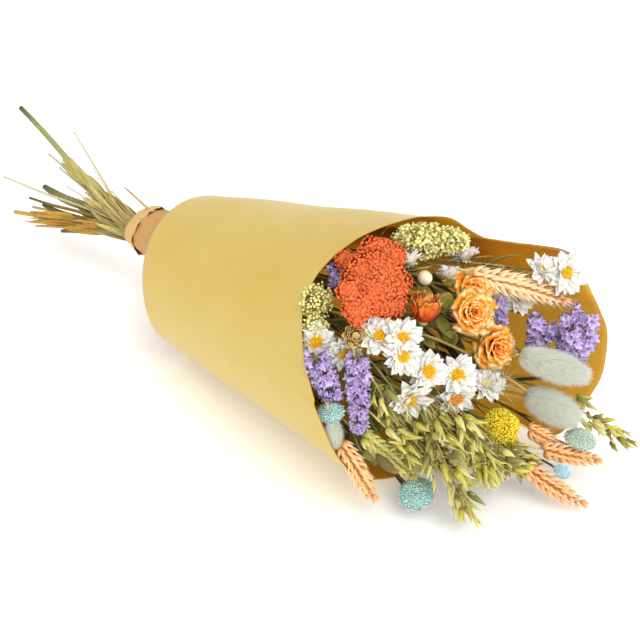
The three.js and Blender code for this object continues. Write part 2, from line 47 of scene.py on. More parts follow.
# every cut stem: place in the waist (y, z), end of the straight stem, optional free tail, heads
ROWS = [
    {'name': 'yarrow_coral_large', 'slot': [-0.14, 64.63], 'end': [107.7, -39.9, 148.1], 'fork': True, 'tail': [-274.1, -12.0, 106.1], 'tailR': 3.1, 'tailName': 'sheath',
     'heads': [{'at': [150.0, -52.0, 148.7], 'dir': [0.78, -0.48, 0.4], 'r': 22.6, 'h': 0.42}, {'at': [138.0, -37.4, 167.6], 'dir': [0.78, -0.47, 0.42], 'r': 14.6, 'h': 0.42}]},
    {'name': 'yarrow_coral_small', 'slot': [-2.5, 64.63], 'end': [113.0, -42.6, 154.8], 'stub': 10.5,
     'heads': [{'at': [113.0, -42.6, 154.8], 'dir': [0.78, -0.47, 0.41], 'r': 5.5, 'h': 0.5}]},
    {'name': 'bud_spray_top', 'slot': [4.58, 64.63], 'end': [105.1, 4.7, 153.1], 'fork': True, 'stub': 10.1,
     'heads': [{'at': [137.0, -4.8, 166.4], 'dir': [0.95, -0.23, 0.19], 'r': 11, 'h': 0.75}, {'at': [146.0, 14.3, 161.5], 'dir': [0.95, -0.23, 0.19], 'r': 13.8, 'h': 0.6}]},
    {'name': 'bud_spray_left', 'slot': [-3.68, 62.59], 'end': [85.8, -69.1, 123.5], 'fork': True, 'stub': 9.6,
     'heads': [{'at': [118.0, -74.0, 138.3], 'dir': [0.95, -0.23, 0.19], 'r': 7.7, 'h': 1}, {'at': [126.0, -81.2, 124.6], 'dir': [0.95, -0.23, 0.19], 'r': 6.4, 'h': 0.8}]},
    {'name': 'daisy_pair_left', 'slot': [-2.5, 60.54], 'end': [102.0, -71.5, 109.8], 'fork': True, 'stub': 9.2,
     'heads': [{'at': [131.0, -84.8, 118.5], 'dir': [0.78, -0.51, 0.37], 'r': 10.1}, {'at': [146.0, -75.3, 113.3], 'dir': [0.92, -0.36, -0.17], 'r': 10.1}]},
    {'name': 'daisy_trio_upper', 'slot': [-0.14, 60.54], 'end': [128.5, -47.7, 117.1], 'fork': True, 'stub': 8.7,
     'heads': [{'at': [160.0, -58.4, 123.6], 'dir': [0.65, -0.2, 0.73], 'r': 10.7}, {'at': [171.0, -48.1, 123.6], 'dir': [0.78, -0.5, 0.39], 'r': 9.7}]},
    {'name': 'daisy_mid_left', 'slot': [1.04, 58.5], 'end': [176.0, -51.8, 114.1], 'stub': 8.3,
     'heads': [{'at': [176.0, -51.8, 114.1], 'dir': [0.78, -0.51, 0.37], 'r': 9.4}]},
    {'name': 'daisy_centre', 'slot': [3.4, 58.5], 'end': [148.8, -22.8, 92.4], 'fork': True, 'tail': [-407.5, -8.0, 49.5], 'tailR': 1.2, 'tailName': 'pale_long',
     'heads': [{'at': [184.0, -36.9, 100.9], 'dir': [0.78, -0.51, 0.36], 'r': 10.8}, {'at': [189.0, -14.6, 91.4], 'dir': [0.79, -0.52, 0.33], 'r': 11.6}]},
    {'name': 'daisy_half_open', 'slot': [4.58, 56.46], 'end': [188.0, 16.3, 71.9], 'tail': [-369.8, 14.0, 44.6], 'tailR': 3.4, 'tailName': 'olive_fat',
     'heads': [{'at': [188.0, 16.3, 71.9], 'dir': [0.99, 0.05, 0.13], 'r': 10.7}]},
    {'name': 'daisy_brown_centre', 'slot': [2.22, 56.46], 'end': [149.2, -24.5, 75.2], 'fork': True, 'tail': [-360.9, -8.0, 42.2], 'tailR': 1.5, 'tailName': 'brown_olive',
     'heads': [{'at': [190.0, -16.5, 76.0], 'dir': [0.92, -0.36, -0.17], 'r': 11.7}, {'at': [184.0, -38.4, 78.5], 'dir': [0.95, -0.23, 0.19], 'r': 3.9, 'h': 0.9}]},
    {'name': 'daisy_front_pair', 'slot': [-0.14, 56.46], 'end': [180.0, -48.2, 82.9], 'stub': 6.5,
     'heads': [{'at': [180.0, -48.2, 82.9], 'dir': [0.92, -0.36, -0.17], 'r': 10.8}]},
    {'name': 'daisy_top_right', 'slot': [8.12, 62.59], 'end': [154.2, 68.1, 130.3], 'fork': True, 'stub': 6,
     'heads': [{'at': [196.0, 81.6, 135.9], 'dir': [0.83, -0.38, 0.41], 'r': 10}, {'at': [186.0, 67.3, 139.1], 'dir': [0.65, -0.2, 0.73], 'r': 7.3}]},
    {'name': 'daisy_edge_on', 'slot': [2.22, 64.63], 'end': [146.0, -16.3, 157.4], 'stub': 10.5,
     'heads': [{'at': [146.0, -16.3, 157.4], 'dir': [0.65, -0.2, 0.73], 'r': 7.1}]},
    {'name': 'daisy_shaded_pair', 'slot': [6.94, 64.63], 'end': [116.0, 18.6, 139.6], 'fork': True, 'tail': [-337.2, 32.0, 104.4], 'tailR': 1, 'tailName': 'straw_thin',
     'heads': [{'at': [150.0, 30.4, 147.0], 'dir': [0.65, -0.2, 0.73], 'r': 8.7}, {'at': [156.0, 9.7, 142.6], 'dir': [0.65, -0.2, 0.73], 'r': 7.2}]},
    {'name': 'daisy_shaded_low', 'slot': [9.3, 60.54], 'end': [172.0, 60.9, 115.0], 'stub': 9.6,
     'heads': [{'at': [172.0, 60.9, 115.0], 'dir': [0.65, -0.2, 0.73], 'r': 8.2}]},
    {'name': 'bud_cream', 'slot': [3.4, 62.59], 'end': [155.0, -12.1, 147.9], 'stub': 9.2,
     'heads': [{'at': [155.0, -12.1, 147.9], 'dir': [0.95, -0.23, 0.19], 'r': 5.5, 'h': 0.9}]},
    {'name': 'strawflower_tan', 'slot': [-1.32, 62.59], 'end': [154.0, -71.8, 126.8], 'stub': 8.7,
     'heads': [{'at': [154.0, -71.8, 126.8], 'dir': [0.78, -0.5, 0.38], 'r': 6.9}]},
    {'name': 'rose_upper', 'slot': [4.58, 60.54], 'end': [182.0, 6.5, 127.2], 'tail': [-352.1, 12.0, 83.6], 'tailR': 1.2, 'tailName': 'grey_thin',
     'heads': [{'at': [182.0, 6.5, 127.2], 'dir': [0.8, -0.42, 0.44], 'r': 12.6}]},
    {'name': 'rose_lower', 'slot': [5.76, 58.5], 'end': [187.0, 26.2, 95.3], 'tail': [-351.9, 22.0, 67.2], 'tailR': 1.4, 'tailName': 'straw_up',
     'heads': [{'at': [187.0, 26.2, 95.3], 'dir': [0.91, -0.32, 0.26], 'r': 12.6}]},
    {'name': 'rose_back', 'slot': [6.94, 60.54], 'end': [170.5, 18.5, 136.0], 'stub': 7.4,
     'heads': [{'at': [170.5, 18.5, 136.0], 'dir': [0.65, -0.2, 0.73], 'r': 8.7}]},
    {'name': 'rose_bud', 'slot': [2.22, 60.54], 'end': [168.0, -25.9, 136.7], 'stub': 6.9,
     'heads': [{'at': [168.0, -25.9, 136.7], 'dir': [0.57, -0.34, 0.75], 'r': 8.9}]},
    {'name': 'statice_left_low', 'slot': [-4.86, 60.54], 'end': [146.0, -94.8, 113.5], 'stub': 6.5,
     'heads': [{'at': [146.0, -94.8, 113.5], 'dir': [0.13, 0.33, -0.93], 'r': 6.9, 'len': 30.5}]},
    {'name': 'statice_left_tall', 'slot': [-3.68, 58.5], 'end': [160.0, -78.1, 113.0], 'stub': 6,
     'heads': [{'at': [160.0, -78.1, 113.0], 'dir': [0.06, -0.02, -1.0], 'r': 6.3, 'len': 51.5}]},
    {'name': 'statice_deep_left', 'slot': [1.04, 62.59], 'end': [110.0, -34.0, 129.8], 'stub': 10.5,
     'heads': [{'at': [110.0, -34.0, 129.8], 'dir': [0.09, -0.45, 0.89], 'r': 4.9, 'len': 22.7}]},
    {'name': 'statice_mid', 'slot': [8.12, 58.5], 'end': [170.0, 48.5, 97.1], 'stub': 10.1,
     'heads': [{'at': [170.0, 48.5, 97.1], 'dir': [0.08, -0.18, 0.98], 'r': 4.1, 'len': 25.8}]},
    {'name': 'statice_right_near', 'slot': [10.48, 58.5], 'end': [188.0, 66.3, 84.6], 'stub': 9.6,
     'heads': [{'at': [188.0, 66.3, 84.6], 'dir': [0.21, 0.18, 0.96], 'r': 8.9, 'len': 19}]},
    {'name': 'statice_right_far', 'slot': [10.48, 54.41], 'end': [205.0, 85.1, 69.7], 'stub': 9.2,
     'heads': [{'at': [205.0, 85.1, 69.7], 'dir': [0.12, -0.12, 0.99], 'r': 13.6, 'len': 43.3}]},
    {'name': 'wheat_top', 'slot': [5.76, 62.59], 'end': [166.0, 19.7, 145.9], 'tail': [-410.4, 20.0, 111.9], 'tailR': 2.9, 'tailName': 'green_thick',
     'heads': [{'at': [166.0, 19.7, 145.9], 'dir': [0.41, 0.83, -0.38], 'r': 6.3, 'len': 83.9}]},
    {'name': 'wheat_front_left', 'slot': [-3.68, 54.41], 'end': [160.0, -90.3, 58.2], 'stub': 8.3,
     'heads': [{'at': [160.0, -90.3, 58.2], 'dir': [0.35, 0.31, -0.88], 'r': 5.5, 'len': 50.8}]},
    {'name': 'wheat_right_a', 'slot': [5.76, 54.41], 'end': [216.0, 28.1, 45.5], 'stub': 7.8,
     'heads': [{'at': [216.0, 28.1, 45.5], 'dir': [0.47, 0.68, -0.57], 'r': 5, 'len': 25.8}]},
    {'name': 'wheat_right_b', 'slot': [6.94, 52.37], 'end': [228.0, 29.5, 34.0], 'stub': 7.4,
     'heads': [{'at': [228.0, 29.5, 34.0], 'dir': [0.51, 0.8, -0.31], 'r': 5.4, 'len': 47.2}]},
    {'name': 'wheat_right_c', 'slot': [3.4, 50.32], 'end': [228.0, 12.8, 28.0], 'stub': 6.9,
     'heads': [{'at': [228.0, 12.8, 28.0], 'dir': [0.8, 0.4, -0.44], 'r': 5.6, 'len': 49.7}]},
    {'name': 'wheat_green', 'slot': [-2.5, 52.37], 'end': [164.0, -75.6, 60.6], 'stub': 6.5,
     'heads': [{'at': [164.0, -75.6, 60.6], 'dir': [0.5, 0.53, -0.68], 'r': 4.9, 'len': 51.5}]},
    {'name': 'harestail_upper', 'slot': [6.94, 56.46], 'end': [203.0, 30.8, 95.0], 'stub': 6,
     'heads': [{'at': [203.0, 30.8, 95.0], 'dir': [0.57, 0.73, -0.37], 'r': 9.6, 'len': 53.9}]},
    {'name': 'harestail_lower', 'slot': [8.12, 54.41], 'end': [203.0, 39.5, 62.3], 'stub': 10.5,
     'heads': [{'at': [203.0, 39.5, 62.3], 'dir': [0.83, 0.44, -0.34], 'r': 10.4, 'len': 40.8}]},
    {'name': 'harestail_small', 'slot': [-4.86, 56.46], 'end': [155.0, -93.6, 75.3], 'stub': 10.1,
     'heads': [{'at': [155.0, -93.6, 75.3], 'dir': [0.14, 0.08, -0.99], 'r': 5.1, 'len': 20.7}]},
    {'name': 'oat_left', 'slot': [-1.32, 58.5], 'end': [168.0, -65.3, 92.6], 'stub': 9.6,
     'heads': [{'at': [168.0, -65.3, 92.6], 'dir': [0.23, 0.37, -0.9], 'r': 6.4, 'len': 35.2}]},
    {'name': 'oat_front_left', 'slot': [-1.32, 54.41], 'end': [176.0, -65.2, 66.4], 'tail': [-329.6, -22.0, 27.8], 'tailR': 1.2, 'tailName': 'rootlet',
     'heads': [{'at': [176.0, -65.2, 66.4], 'dir': [0.42, 0.46, -0.78], 'r': 7.7, 'len': 47.2}]},
    {'name': 'oat_front_long', 'slot': [1.04, 54.41], 'end': [188.0, -42.2, 72.1], 'tail': [-367.0, -22.0, 29.9], 'tailR': 2.2, 'tailName': 'orange',
     'heads': [{'at': [188.0, -42.2, 72.1], 'dir': [0.61, -0.02, -0.79], 'r': 8.3, 'len': 75.5}]},
    {'name': 'oat_centre', 'slot': [3.4, 54.41], 'end': [198.0, -22.5, 66.2], 'tail': [-375.5, 2.0, 25.5], 'tailR': 1.5, 'tailName': 'green_mid',
     'heads': [{'at': [198.0, -22.5, 66.2], 'dir': [0.51, 0.22, -0.83], 'r': 9.1, 'len': 55.4}]},
    {'name': 'oat_right_low', 'slot': [2.22, 52.37], 'end': [216.0, -2.5, 40.0], 'stub': 7.8,
     'heads': [{'at': [216.0, -2.5, 40.0], 'dir': [0.33, 0.74, -0.59], 'r': 6.6, 'len': 41.9}]},
    {'name': 'oat_far_right', 'slot': [9.3, 56.46], 'end': [228.0, 59.0, 57.0], 'stub': 7.4,
     'heads': [{'at': [228.0, 59.0, 57.0], 'dir': [0.49, 0.61, -0.62], 'r': 6.8, 'len': 57.2}]},
    {'name': 'yellow_globe', 'slot': [4.58, 52.37], 'end': [207.0, 10.8, 49.4], 'stub': 6.9,
     'heads': [{'at': [207.0, 10.8, 49.4], 'dir': [0.95, -0.23, 0.19], 'r': 11.3, 'h': 1}]},
    {'name': 'button_left', 'slot': [-2.5, 56.46], 'end': [152.0, -90.8, 76.4], 'stub': 6.5,
     'heads': [{'at': [152.0, -90.8, 76.4], 'dir': [0.79, -0.52, 0.33], 'r': 8.6, 'h': 0.6}]},
    {'name': 'button_front', 'slot': [1.04, 50.32], 'end': [192.0, -50.8, 15.8], 'tail': [-300.4, -12.0, 29.4], 'tailR': 1.9, 'tailName': 'olive_low',
     'heads': [{'at': [192.0, -50.8, 15.8], 'dir': [0.82, -0.5, 0.28], 'r': 11.5, 'h': 0.6}]},
    {'name': 'button_right', 'slot': [9.3, 52.37], 'end': [240.0, 55.6, 34.8], 'stub': 10.5,
     'heads': [{'at': [240.0, 55.6, 34.8], 'dir': [0.65, -0.2, 0.73], 'r': 10.4, 'h': 0.5}]},
    {'name': 'button_right_low', 'slot': [5.76, 50.32], 'end': [243.0, 34.7, 20.8], 'stub': 10.1,
     'heads': [{'at': [243.0, 34.7, 20.8], 'dir': [0.85, -0.43, 0.29], 'r': 5.7, 'h': 0.7}]},
]
RIM = [(-180, 151), (-173, 156), (-165, 160), (-157, 162), (-147, 165), (-135, 163), (-120, 158), (-105, 156), (-98, 155.5), (-90, 155),
       (-82, 155.5), (-72, 159), (-62, 167), (-54.5, 176), (-53.5, 206), (-50, 213), (-43, 215), (-34, 217), (-24, 219), (-14, 216.5),
       (-5, 213), (4, 205), (12, 198.5), (20, 194.5), (28, 193), (33, 192), (36, 188), (37.4, 181), (38.4, 132), (42, 124),
       (50, 121), (60, 124), (73, 127.5), (80, 121.5), (89, 117), (97, 111.5), (107, 107), (118, 106), (126, 106.5), (134, 109),
       (142, 113), (150, 120.5), (158, 129), (166, 138), (173, 145)]
COLLAR = np.array([[-199, 58.8, 12.5, 12.5], [-193.5, 58.8, 12.5, 12.5], [-190, 62, 15.4, 15.4], [-184, 65, 18.2, 18.2],
                   [-167, 65.9, 20.7, 20.7], [-148, 66.4, 23.5, 23.5], [-122, 65.8, 32, 31],
                   [-98, 65, 46, 43], [-66, 64.2, 73.2, 62.7]], float)


# ------------------------------------------------------------------ small maths
def seeded(name):
    return np.random.RandomState(zlib.crc32(name.encode()) & 0x7fffffff)


def unit(v):
    v = np.asarray(v, float)
    return v / np.maximum(np.linalg.norm(v, axis=-1, keepdims=True), 1e-12)


def basis_z(d, roll=None):
    """Columns u, v, w for each direction, w along it."""
    d = unit(np.atleast_2d(d))
    h = np.where(np.abs(d[:, 2:3]) < 0.9, np.array([[0, 0, 1.0]]), np.array([[0, 1.0, 0]]))
    u = unit(np.cross(h, d))
    v = np.cross(d, u)
    if roll is not None:
        c, s = np.cos(roll)[:, None], np.sin(roll)[:, None]
        u, v = u * c + v * s, v * c - u * s
    return np.stack([u, v, d], 2)


def basis_y(along, normal):
    """Columns across, along, normal for each petal."""
    a = unit(np.atleast_2d(along))
    x = unit(np.cross(a, np.atleast_2d(normal)))
    return np.stack([x, a, np.cross(x, a)], 2)


def bezier(a, b, c, d, n):
    t = np.linspace(0, 1, n)[:, None]
    a, b, c, d = (np.asarray(p, float) for p in (a, b, c, d))
    return a * (1 - t) ** 3 + 3 * b * t * (1 - t) ** 2 + 3 * c * t * t * (1 - t) + d * t ** 3


def catmull(points, per=6):
    p = np.asarray(points, float)
    p = np.vstack([2 * p[0] - p[1], p, 2 * p[-1] - p[-2]])
    out = []
    for i in range(1, len(p) - 2):
        t = np.linspace(0, 1, per, endpoint=False)[:, None]
        a, b, c, d = p[i - 1], p[i], p[i + 1], p[i + 2]
        out.append(0.5 * (2 * b + (c - a) * t + (2 * a - 5 * b + 4 * c - d) * t ** 2 + (3 * b - a - 3 * c + d) * t ** 3))
    out.append(p[-2][None])
    return np.vstack(out)


def pchip(x, y, q):
    x, y = np.asarray(x, float), np.asarray(y, float)
    h, dlt = np.diff(x), np.diff(y) / np.diff(x)
    m = np.zeros(len(x))
    for i in range(1, len(x) - 1):
        if dlt[i - 1] * dlt[i] > 0:
            w1, w2 = 2 * h[i] + h[i - 1], h[i] + 2 * h[i - 1]
            m[i] = (w1 + w2) / (w1 / dlt[i - 1] + w2 / dlt[i])
    m[0], m[-1] = dlt[0], dlt[-1]
    k = np.clip(np.searchsorted(x, q) - 1, 0, len(x) - 2)
    t = (q - x[k]) / h[k]
    return (y[k] * (1 + 2 * t) * (1 - t) ** 2 + m[k] * h[k] * t * (1 - t) ** 2 + y[k + 1] * t * t * (3 - 2 * t) + m[k + 1] * h[k] * t * t * (t - 1))


# ------------------------------------------------------------------ mesh parts
class Tpl:
    """A small mesh that is placed many times: points, quads, triangles, and two shading numbers at each point."""
    def __init__(self, V, Q=None, T=None, grad=0.5, edge=0.5, qm=0, tm=0):
        self.V = np.asarray(V, float).reshape(-1, 3)
        n = len(self.V)
        self.Q = np.zeros((0, 4), int) if Q is None else np.asarray(Q, int).reshape(-1, 4)
        self.T = np.zeros((0, 3), int) if T is None else np.asarray(T, int).reshape(-1, 3)
        self.grad = np.broadcast_to(np.asarray(grad, float), (n,)).copy()
        self.edge = np.broadcast_to(np.asarray(edge, float), (n,)).copy()
        self.qm = np.broadcast_to(np.asarray(qm, int), (len(self.Q),)).copy()
        self.tm = np.broadcast_to(np.asarray(tm, int), (len(self.T),)).copy()

    def moved(self, M=None, p=(0, 0, 0)):
        V = self.V if M is None else self.V @ np.asarray(M, float).T
        return Tpl(V + np.asarray(p, float), self.Q, self.T, self.grad, self.edge, self.qm, self.tm)

    def mats(self, m):
        return Tpl(self.V, self.Q, self.T, self.grad, self.edge, m, m)


def join(parts):
    n, V, Q, T, g, e, qm, tm = 0, [], [], [], [], [], [], []
    for p in parts:
        V.append(p.V); Q.append(p.Q + n); T.append(p.T + n); g.append(p.grad); e.append(p.edge); qm.append(p.qm); tm.append(p.tm)
        n += len(p.V)
    return Tpl(np.vstack(V), np.vstack(Q), np.vstack(T), np.concatenate(g), np.concatenate(e), np.concatenate(qm), np.concatenate(tm))


class Build:
    def __init__(self):
        self.V, self.A, self.Q, self.T, self.qm, self.tm, self.n = [], [], [], [], [], [], 0

    def add(self, t, mat=0, tone=0.5):
        A = np.empty((len(t.V), 3), np.float32)
        A[:, 0], A[:, 1], A[:, 2] = tone, t.grad, t.edge
        self.V.append(t.V); self.A.append(A)
        self.Q.append(t.Q + self.n); self.T.append(t.T + self.n)
        self.qm.append(t.qm + mat); self.tm.append(t.tm + mat)
        self.n += len(t.V)

    def inst(self, t, M, P, mat=0, tone=0.5, gadd=None):
        """Places template t with 3x3 matrices M at points P."""
        P = np.atleast_2d(P); k, n = len(P), len(t.V)
        if not k:
            return
        V = np.einsum('kij,nj->kni', M, t.V) + P[:, None, :]
        A = np.empty((k, n, 3), np.float32)
        A[:, :, 0] = np.broadcast_to(np.asarray(tone, float), (k,))[:, None]
        A[:, :, 1] = t.grad[None] if gadd is None else np.clip(t.grad[None] + gadd[:, None], 0, 1)
        A[:, :, 2] = t.edge[None]
        off = (np.arange(k) * n)[:, None, None] + self.n
        self.V.append(V.reshape(-1, 3)); self.A.append(A.reshape(-1, 3))
        self.Q.append((t.Q[None] + off).reshape(-1, 4)); self.T.append((t.T[None] + off).reshape(-1, 3))
        self.qm.append(np.tile(t.qm + mat, k)); self.tm.append(np.tile(t.tm + mat, k))
        self.n += k * n


def sheet(S, th=0.0, grad=None, edge=None):
    """A thin closed petal over a grid of points S (rows along, columns across); its rim is one edge."""
    nv, nu = S.shape[0] - 1, S.shape[1] - 1
    N = unit(np.cross(np.gradient(S, axis=1), np.gradient(S, axis=0)))
    ids = np.arange((nv + 1) * (nu + 1)).reshape(nv + 1, nu + 1)
    inner = np.zeros((nv + 1, nu + 1), bool); inner[1:-1, 1:-1] = True
    top = S + N * (th / 2) * inner[..., None]
    V = top.reshape(-1, 3)
    a, b, c, d = ids[:-1, :-1], ids[:-1, 1:], ids[1:, 1:], ids[1:, :-1]
    Q = np.stack([a, b, c, d], -1).reshape(-1, 4)
    t, s = np.linspace(0, 1, nv + 1), np.linspace(-1, 1, nu + 1)
    G = np.broadcast_to(t[:, None], ids.shape) if grad is None else grad
    E = np.maximum(np.abs(s)[None], np.clip((t[:, None] - 0.5) * 2, 0, 1)) if edge is None else edge
    E = np.broadcast_to(E, ids.shape)
    if th > 0:
        low = ids.copy()
        low[inner] = len(V) + np.arange(inner.sum())
        V = np.vstack([V, (S - N * (th / 2))[inner]])
        a, b, c, d = low[:-1, :-1], low[:-1, 1:], low[1:, 1:], low[1:, :-1]
        Q = np.vstack([Q, np.stack([a, d, c, b], -1).reshape(-1, 4)])
        g = np.concatenate([G.reshape(-1), G[inner]]); e = np.concatenate([E.reshape(-1), E[inner]])
    else:
        g, e = G.reshape(-1), E.reshape(-1)
    return Tpl(V, Q, None, g, e)


WIDTHS = {
    'lance': ([0, .15, .45, .7, .9, 1], [.4, .72, 1, .86, .42, .03]),
    'star': ([0, .15, .45, .68, .86, 1], [.42, .8, 1, .84, .42, .02]),
    'jag': ([0, .2, .55, .8, .93, 1], [.4, .8, 1, .85, .45, .03]),
    'obov': ([0, .2, .5, .8, .93, 1], [.28, .5, .85, 1, .8, .3]),
    'leaf': ([0, .08, .35, .65, .9, 1], [.08, .5, 1, .85, .36, .03]),
    'round': ([0, .08, .3, .6, .85, .96, 1], [.2, .62, .98, 1, .72, .4, .15]),
    'glume': ([0, .08, .26, .5, .78, 1], [.4, .85, 1, .86, .44, .03]),
    'blade': ([0, .1, .4, .8, 1], [.7, .95, 1, .6, .04]),
}


def petal(asp=.35, nu=4, nv=6, w='lance', cup=.15, bend0=0., bend1=0., fold=0., ruf=0., rf=3., ph=0., th=.03, twist=0.):
    """Petal of length 1 along y, its face toward z."""
    t, s = np.linspace(0, 1, nv + 1), np.linspace(-1, 1, nu + 1)
    W = np.interp(t, *WIDTHS[w]) * asp / 2
    mid = bend0 + bend1 * (t[:-1] + t[1:]) / 2
    y = np.concatenate([[0], np.cumsum(np.cos(mid))]) / nv
    z = np.concatenate([[0], np.cumsum(np.sin(mid))]) / nv
    X = s[None] * W[:, None]
    Z0 = cup * (s ** 2)[None] * W[:, None] + fold * np.abs(s)[None] * W[:, None] + ruf * asp * np.sin(rf * s[None] * 3.14 + ph + 4 * t[:, None]) * (t ** 2)[:, None]
    a = twist * t[:, None]
    X, Z0 = X * np.cos(a) - Z0 * np.sin(a), X * np.sin(a) + Z0 * np.cos(a)
    S = np.stack([X, y[:, None] + 0 * X, z[:, None] + Z0], -1)
    return sheet(S, th)


def lathe(profile, sides=8, sx=1., sy=1., lobes=0, amp=0.):
    """Closed turned body along z; profile rows are (z, r) and begin and end at r = 0."""
    z = np.array([p[0] for p in profile], float); r = np.array([p[1] for p in profile], float)
    a = np.arange(sides) / sides * 2 * math.pi
    k = 1 + amp * np.cos(lobes * a)
    m = len(z) - 2
    ring = np.stack([np.outer(r[1:-1], np.cos(a) * k) * sx, np.outer(r[1:-1], np.sin(a) * k) * sy, np.repeat(z[1:-1, None], sides, 1)], -1).reshape(-1, 3)
    V = np.vstack([ring, [[0, 0, z[0]], [0, 0, z[-1]]]])
    i = np.arange(sides); j = (i + 1) % sides
    Q = np.concatenate([np.stack([r0 * sides + i, r0 * sides + j, (r0 + 1) * sides + j, (r0 + 1) * sides + i], -1) for r0 in range(m - 1)]) if m > 1 else None
    T = np.vstack([np.stack([np.full(sides, m * sides), j, i], -1), np.stack([np.full(sides, m * sides + 1), (m - 1) * sides + i, (m - 1) * sides + j], -1)])
    zz = (z - z[0]) / max(z[-1] - z[0], 1e-9)
    g = np.concatenate([np.repeat(zz[1:-1], sides), [0, 1]])
    e = np.concatenate([np.repeat(r[1:-1] / max(r.max(), 1e-9), sides), [0, 0]])
    return Tpl(V, Q, T, g, e)


def tube(P, r, sides=6, ridge=0., lobes=3, phase=0.):
    """Closed round stalk along the points P with a half thickness at each."""
    P = np.asarray(P, float); n = len(P)
    r = np.broadcast_to(np.asarray(r, float), (n,))
    T = unit(np.gradient(P, axis=0))
    u = basis_z(T[0])[0][:, 0]
    U = np.empty((n, 3))
    for i in range(n):
        u = u - (u @ T[i]) * T[i]
        u = u / max(np.linalg.norm(u), 1e-9)
        U[i] = u
    W = np.cross(T, U)
    a = np.arange(sides) / sides * 2 * math.pi
    k = 1 + ridge * np.cos(lobes * a + phase)
    V = P[:, None] + r[:, None, None] * ((np.cos(a) * k)[None, :, None] * U[:, None] + (np.sin(a) * k)[None, :, None] * W[:, None])
    V = np.vstack([V.reshape(-1, 3), P[:1], P[-1:]])
    i = np.arange(sides); j = (i + 1) % sides
    Q = np.concatenate([np.stack([q * sides + i, q * sides + j, (q + 1) * sides + j, (q + 1) * sides + i], -1) for q in range(n - 1)])
    Tr = np.vstack([np.stack([np.full(sides, n * sides), j, i], -1), np.stack([np.full(sides, n * sides + 1), (n - 1) * sides + i, (n - 1) * sides + j], -1)])
    g = np.concatenate([np.repeat(np.linspace(0, 1, n), sides), [0, 1]])
    e = np.concatenate([np.tile(k / k.max(), n), [.5, .5]])
    return Tpl(V, Q, Tr, g, e)


def hairs(root, d, bend, length, r0, seg=3):
    """Many tapered three-sided hairs in one go."""
    k = len(root)
    F = basis_z(d)
    s = np.linspace(0, 1, seg + 1)
    C = root[:, None] + length[:, None, None] * (s[None, :, None] * d[:, None] + (s ** 2)[None, :, None] * bend[:, None])
    a = np.arange(3) * 2 * math.pi / 3
    rr = r0 * (1 - s[:-1]) ** .6
    ring = C[:, :-1, None] + rr[None, :, None, None] * (np.cos(a)[None, None, :, None] * F[:, None, None, :, 0] + np.sin(a)[None, None, :, None] * F[:, None, None, :, 1])
    m = seg * 3
    V = np.concatenate([ring.reshape(k, m, 3), C[:, -1:]], 1)
    i = np.arange(3); j = (i + 1) % 3
    q = np.concatenate([np.stack([b * 3 + i, b * 3 + j, b * 3 + 3 + j, b * 3 + 3 + i], -1) for b in range(seg - 1)]) if seg > 1 else np.zeros((0, 4), int)
    t = np.vstack([np.stack([np.full(3, m), (seg - 1) * 3 + i, (seg - 1) * 3 + j], -1), [[0, 2, 1]]])
    off = (np.arange(k) * (m + 1))[:, None, None]
    g = np.tile(np.concatenate([np.repeat(s[:-1], 3), [1]]), k)
    return Tpl(V.reshape(-1, 3), (q[None] + off).reshape(-1, 4), (t[None] + off).reshape(-1, 3), g, .5), m + 1


# ------------------------------------------------------------------ materials
def lin(c):
    return tuple(((x / 255) / 12.92 if x / 255 <= 0.04045 else ((x / 255 + 0.055) / 1.055) ** 2.4) for x in c[:3]) + (1.0,)


def ramp(nt, fac, stops, interp='LINEAR'):
    n = nt.nodes.new('ShaderNodeValToRGB')
    n.color_ramp.interpolation = interp
    e = n.color_ramp.elements
    while len(e) < len(stops):
        e.new(0.5)
    for x, (p, c) in zip(e, stops):
        x.position, x.color = p, lin(c)
    nt.links.new(fac, n.inputs['Fac'])
    return n.outputs['Color']


def attr(nt, name):
    n = nt.nodes.new('ShaderNodeAttribute')
    n.attribute_name = name
    return n.outputs['Fac']


def noise(nt, scale, detail=2., rough=.5, stretch=None, kind='noise', dist=0.):
    co = nt.nodes.new('ShaderNodeTexCoord').outputs['Object']
    if stretch:
        m = nt.nodes.new('ShaderNodeMapping')
        m.inputs['Scale'].default_value = stretch
        nt.links.new(co, m.inputs['Vector'])
        co = m.outputs['Vector']
    if kind == 'voronoi':
        n = nt.nodes.new('ShaderNodeTexVoronoi')
        n.inputs['Scale'].default_value = scale
        nt.links.new(co, n.inputs['Vector'])
        return n.outputs['Distance']
    n = nt.nodes.new('ShaderNodeTexNoise')
    n.inputs['Scale'].default_value, n.inputs['Detail'].default_value = scale, detail
    n.inputs['Roughness'].default_value = rough
    n.inputs['Distortion'].default_value = dist
    nt.links.new(co, n.inputs['Vector'])
    return n.outputs['Fac']


def mixed(nt, a, b, fac, kind='MIX'):
    n = nt.nodes.new('ShaderNodeMix')
    n.data_type, n.blend_type = 'RGBA', kind
    for sock, v in ((n.inputs[6], a), (n.inputs[7], b)):
        if isinstance(v, (tuple, list)):
            sock.default_value = lin(v)
        else:
            nt.links.new(v, sock)
    if isinstance(fac, (int, float)):
        n.inputs[0].default_value = fac
    else:
        nt.links.new(fac, n.inputs[0])
    return n.outputs[2]


def grey(nt, fac, lo, hi, p0=0., p1=1.):
    n = nt.nodes.new('ShaderNodeMapRange')
    for k, v in (('From Min', p0), ('From Max', p1), ('To Min', lo), ('To Max', hi)):
        n.inputs[k].default_value = v
    nt.links.new(fac, n.inputs['Value'])
    return n.outputs['Result']


def scaled(nt, col, val):
    """Colour times a number."""
    n = nt.nodes.new('ShaderNodeVectorMath'); n.operation = 'SCALE'
    nt.links.new(col, n.inputs[0])
    if isinstance(val, (int, float)):
        n.inputs['Scale'].default_value = val
    else:
        nt.links.new(val, n.inputs['Scale'])
    return n.outputs['Vector']


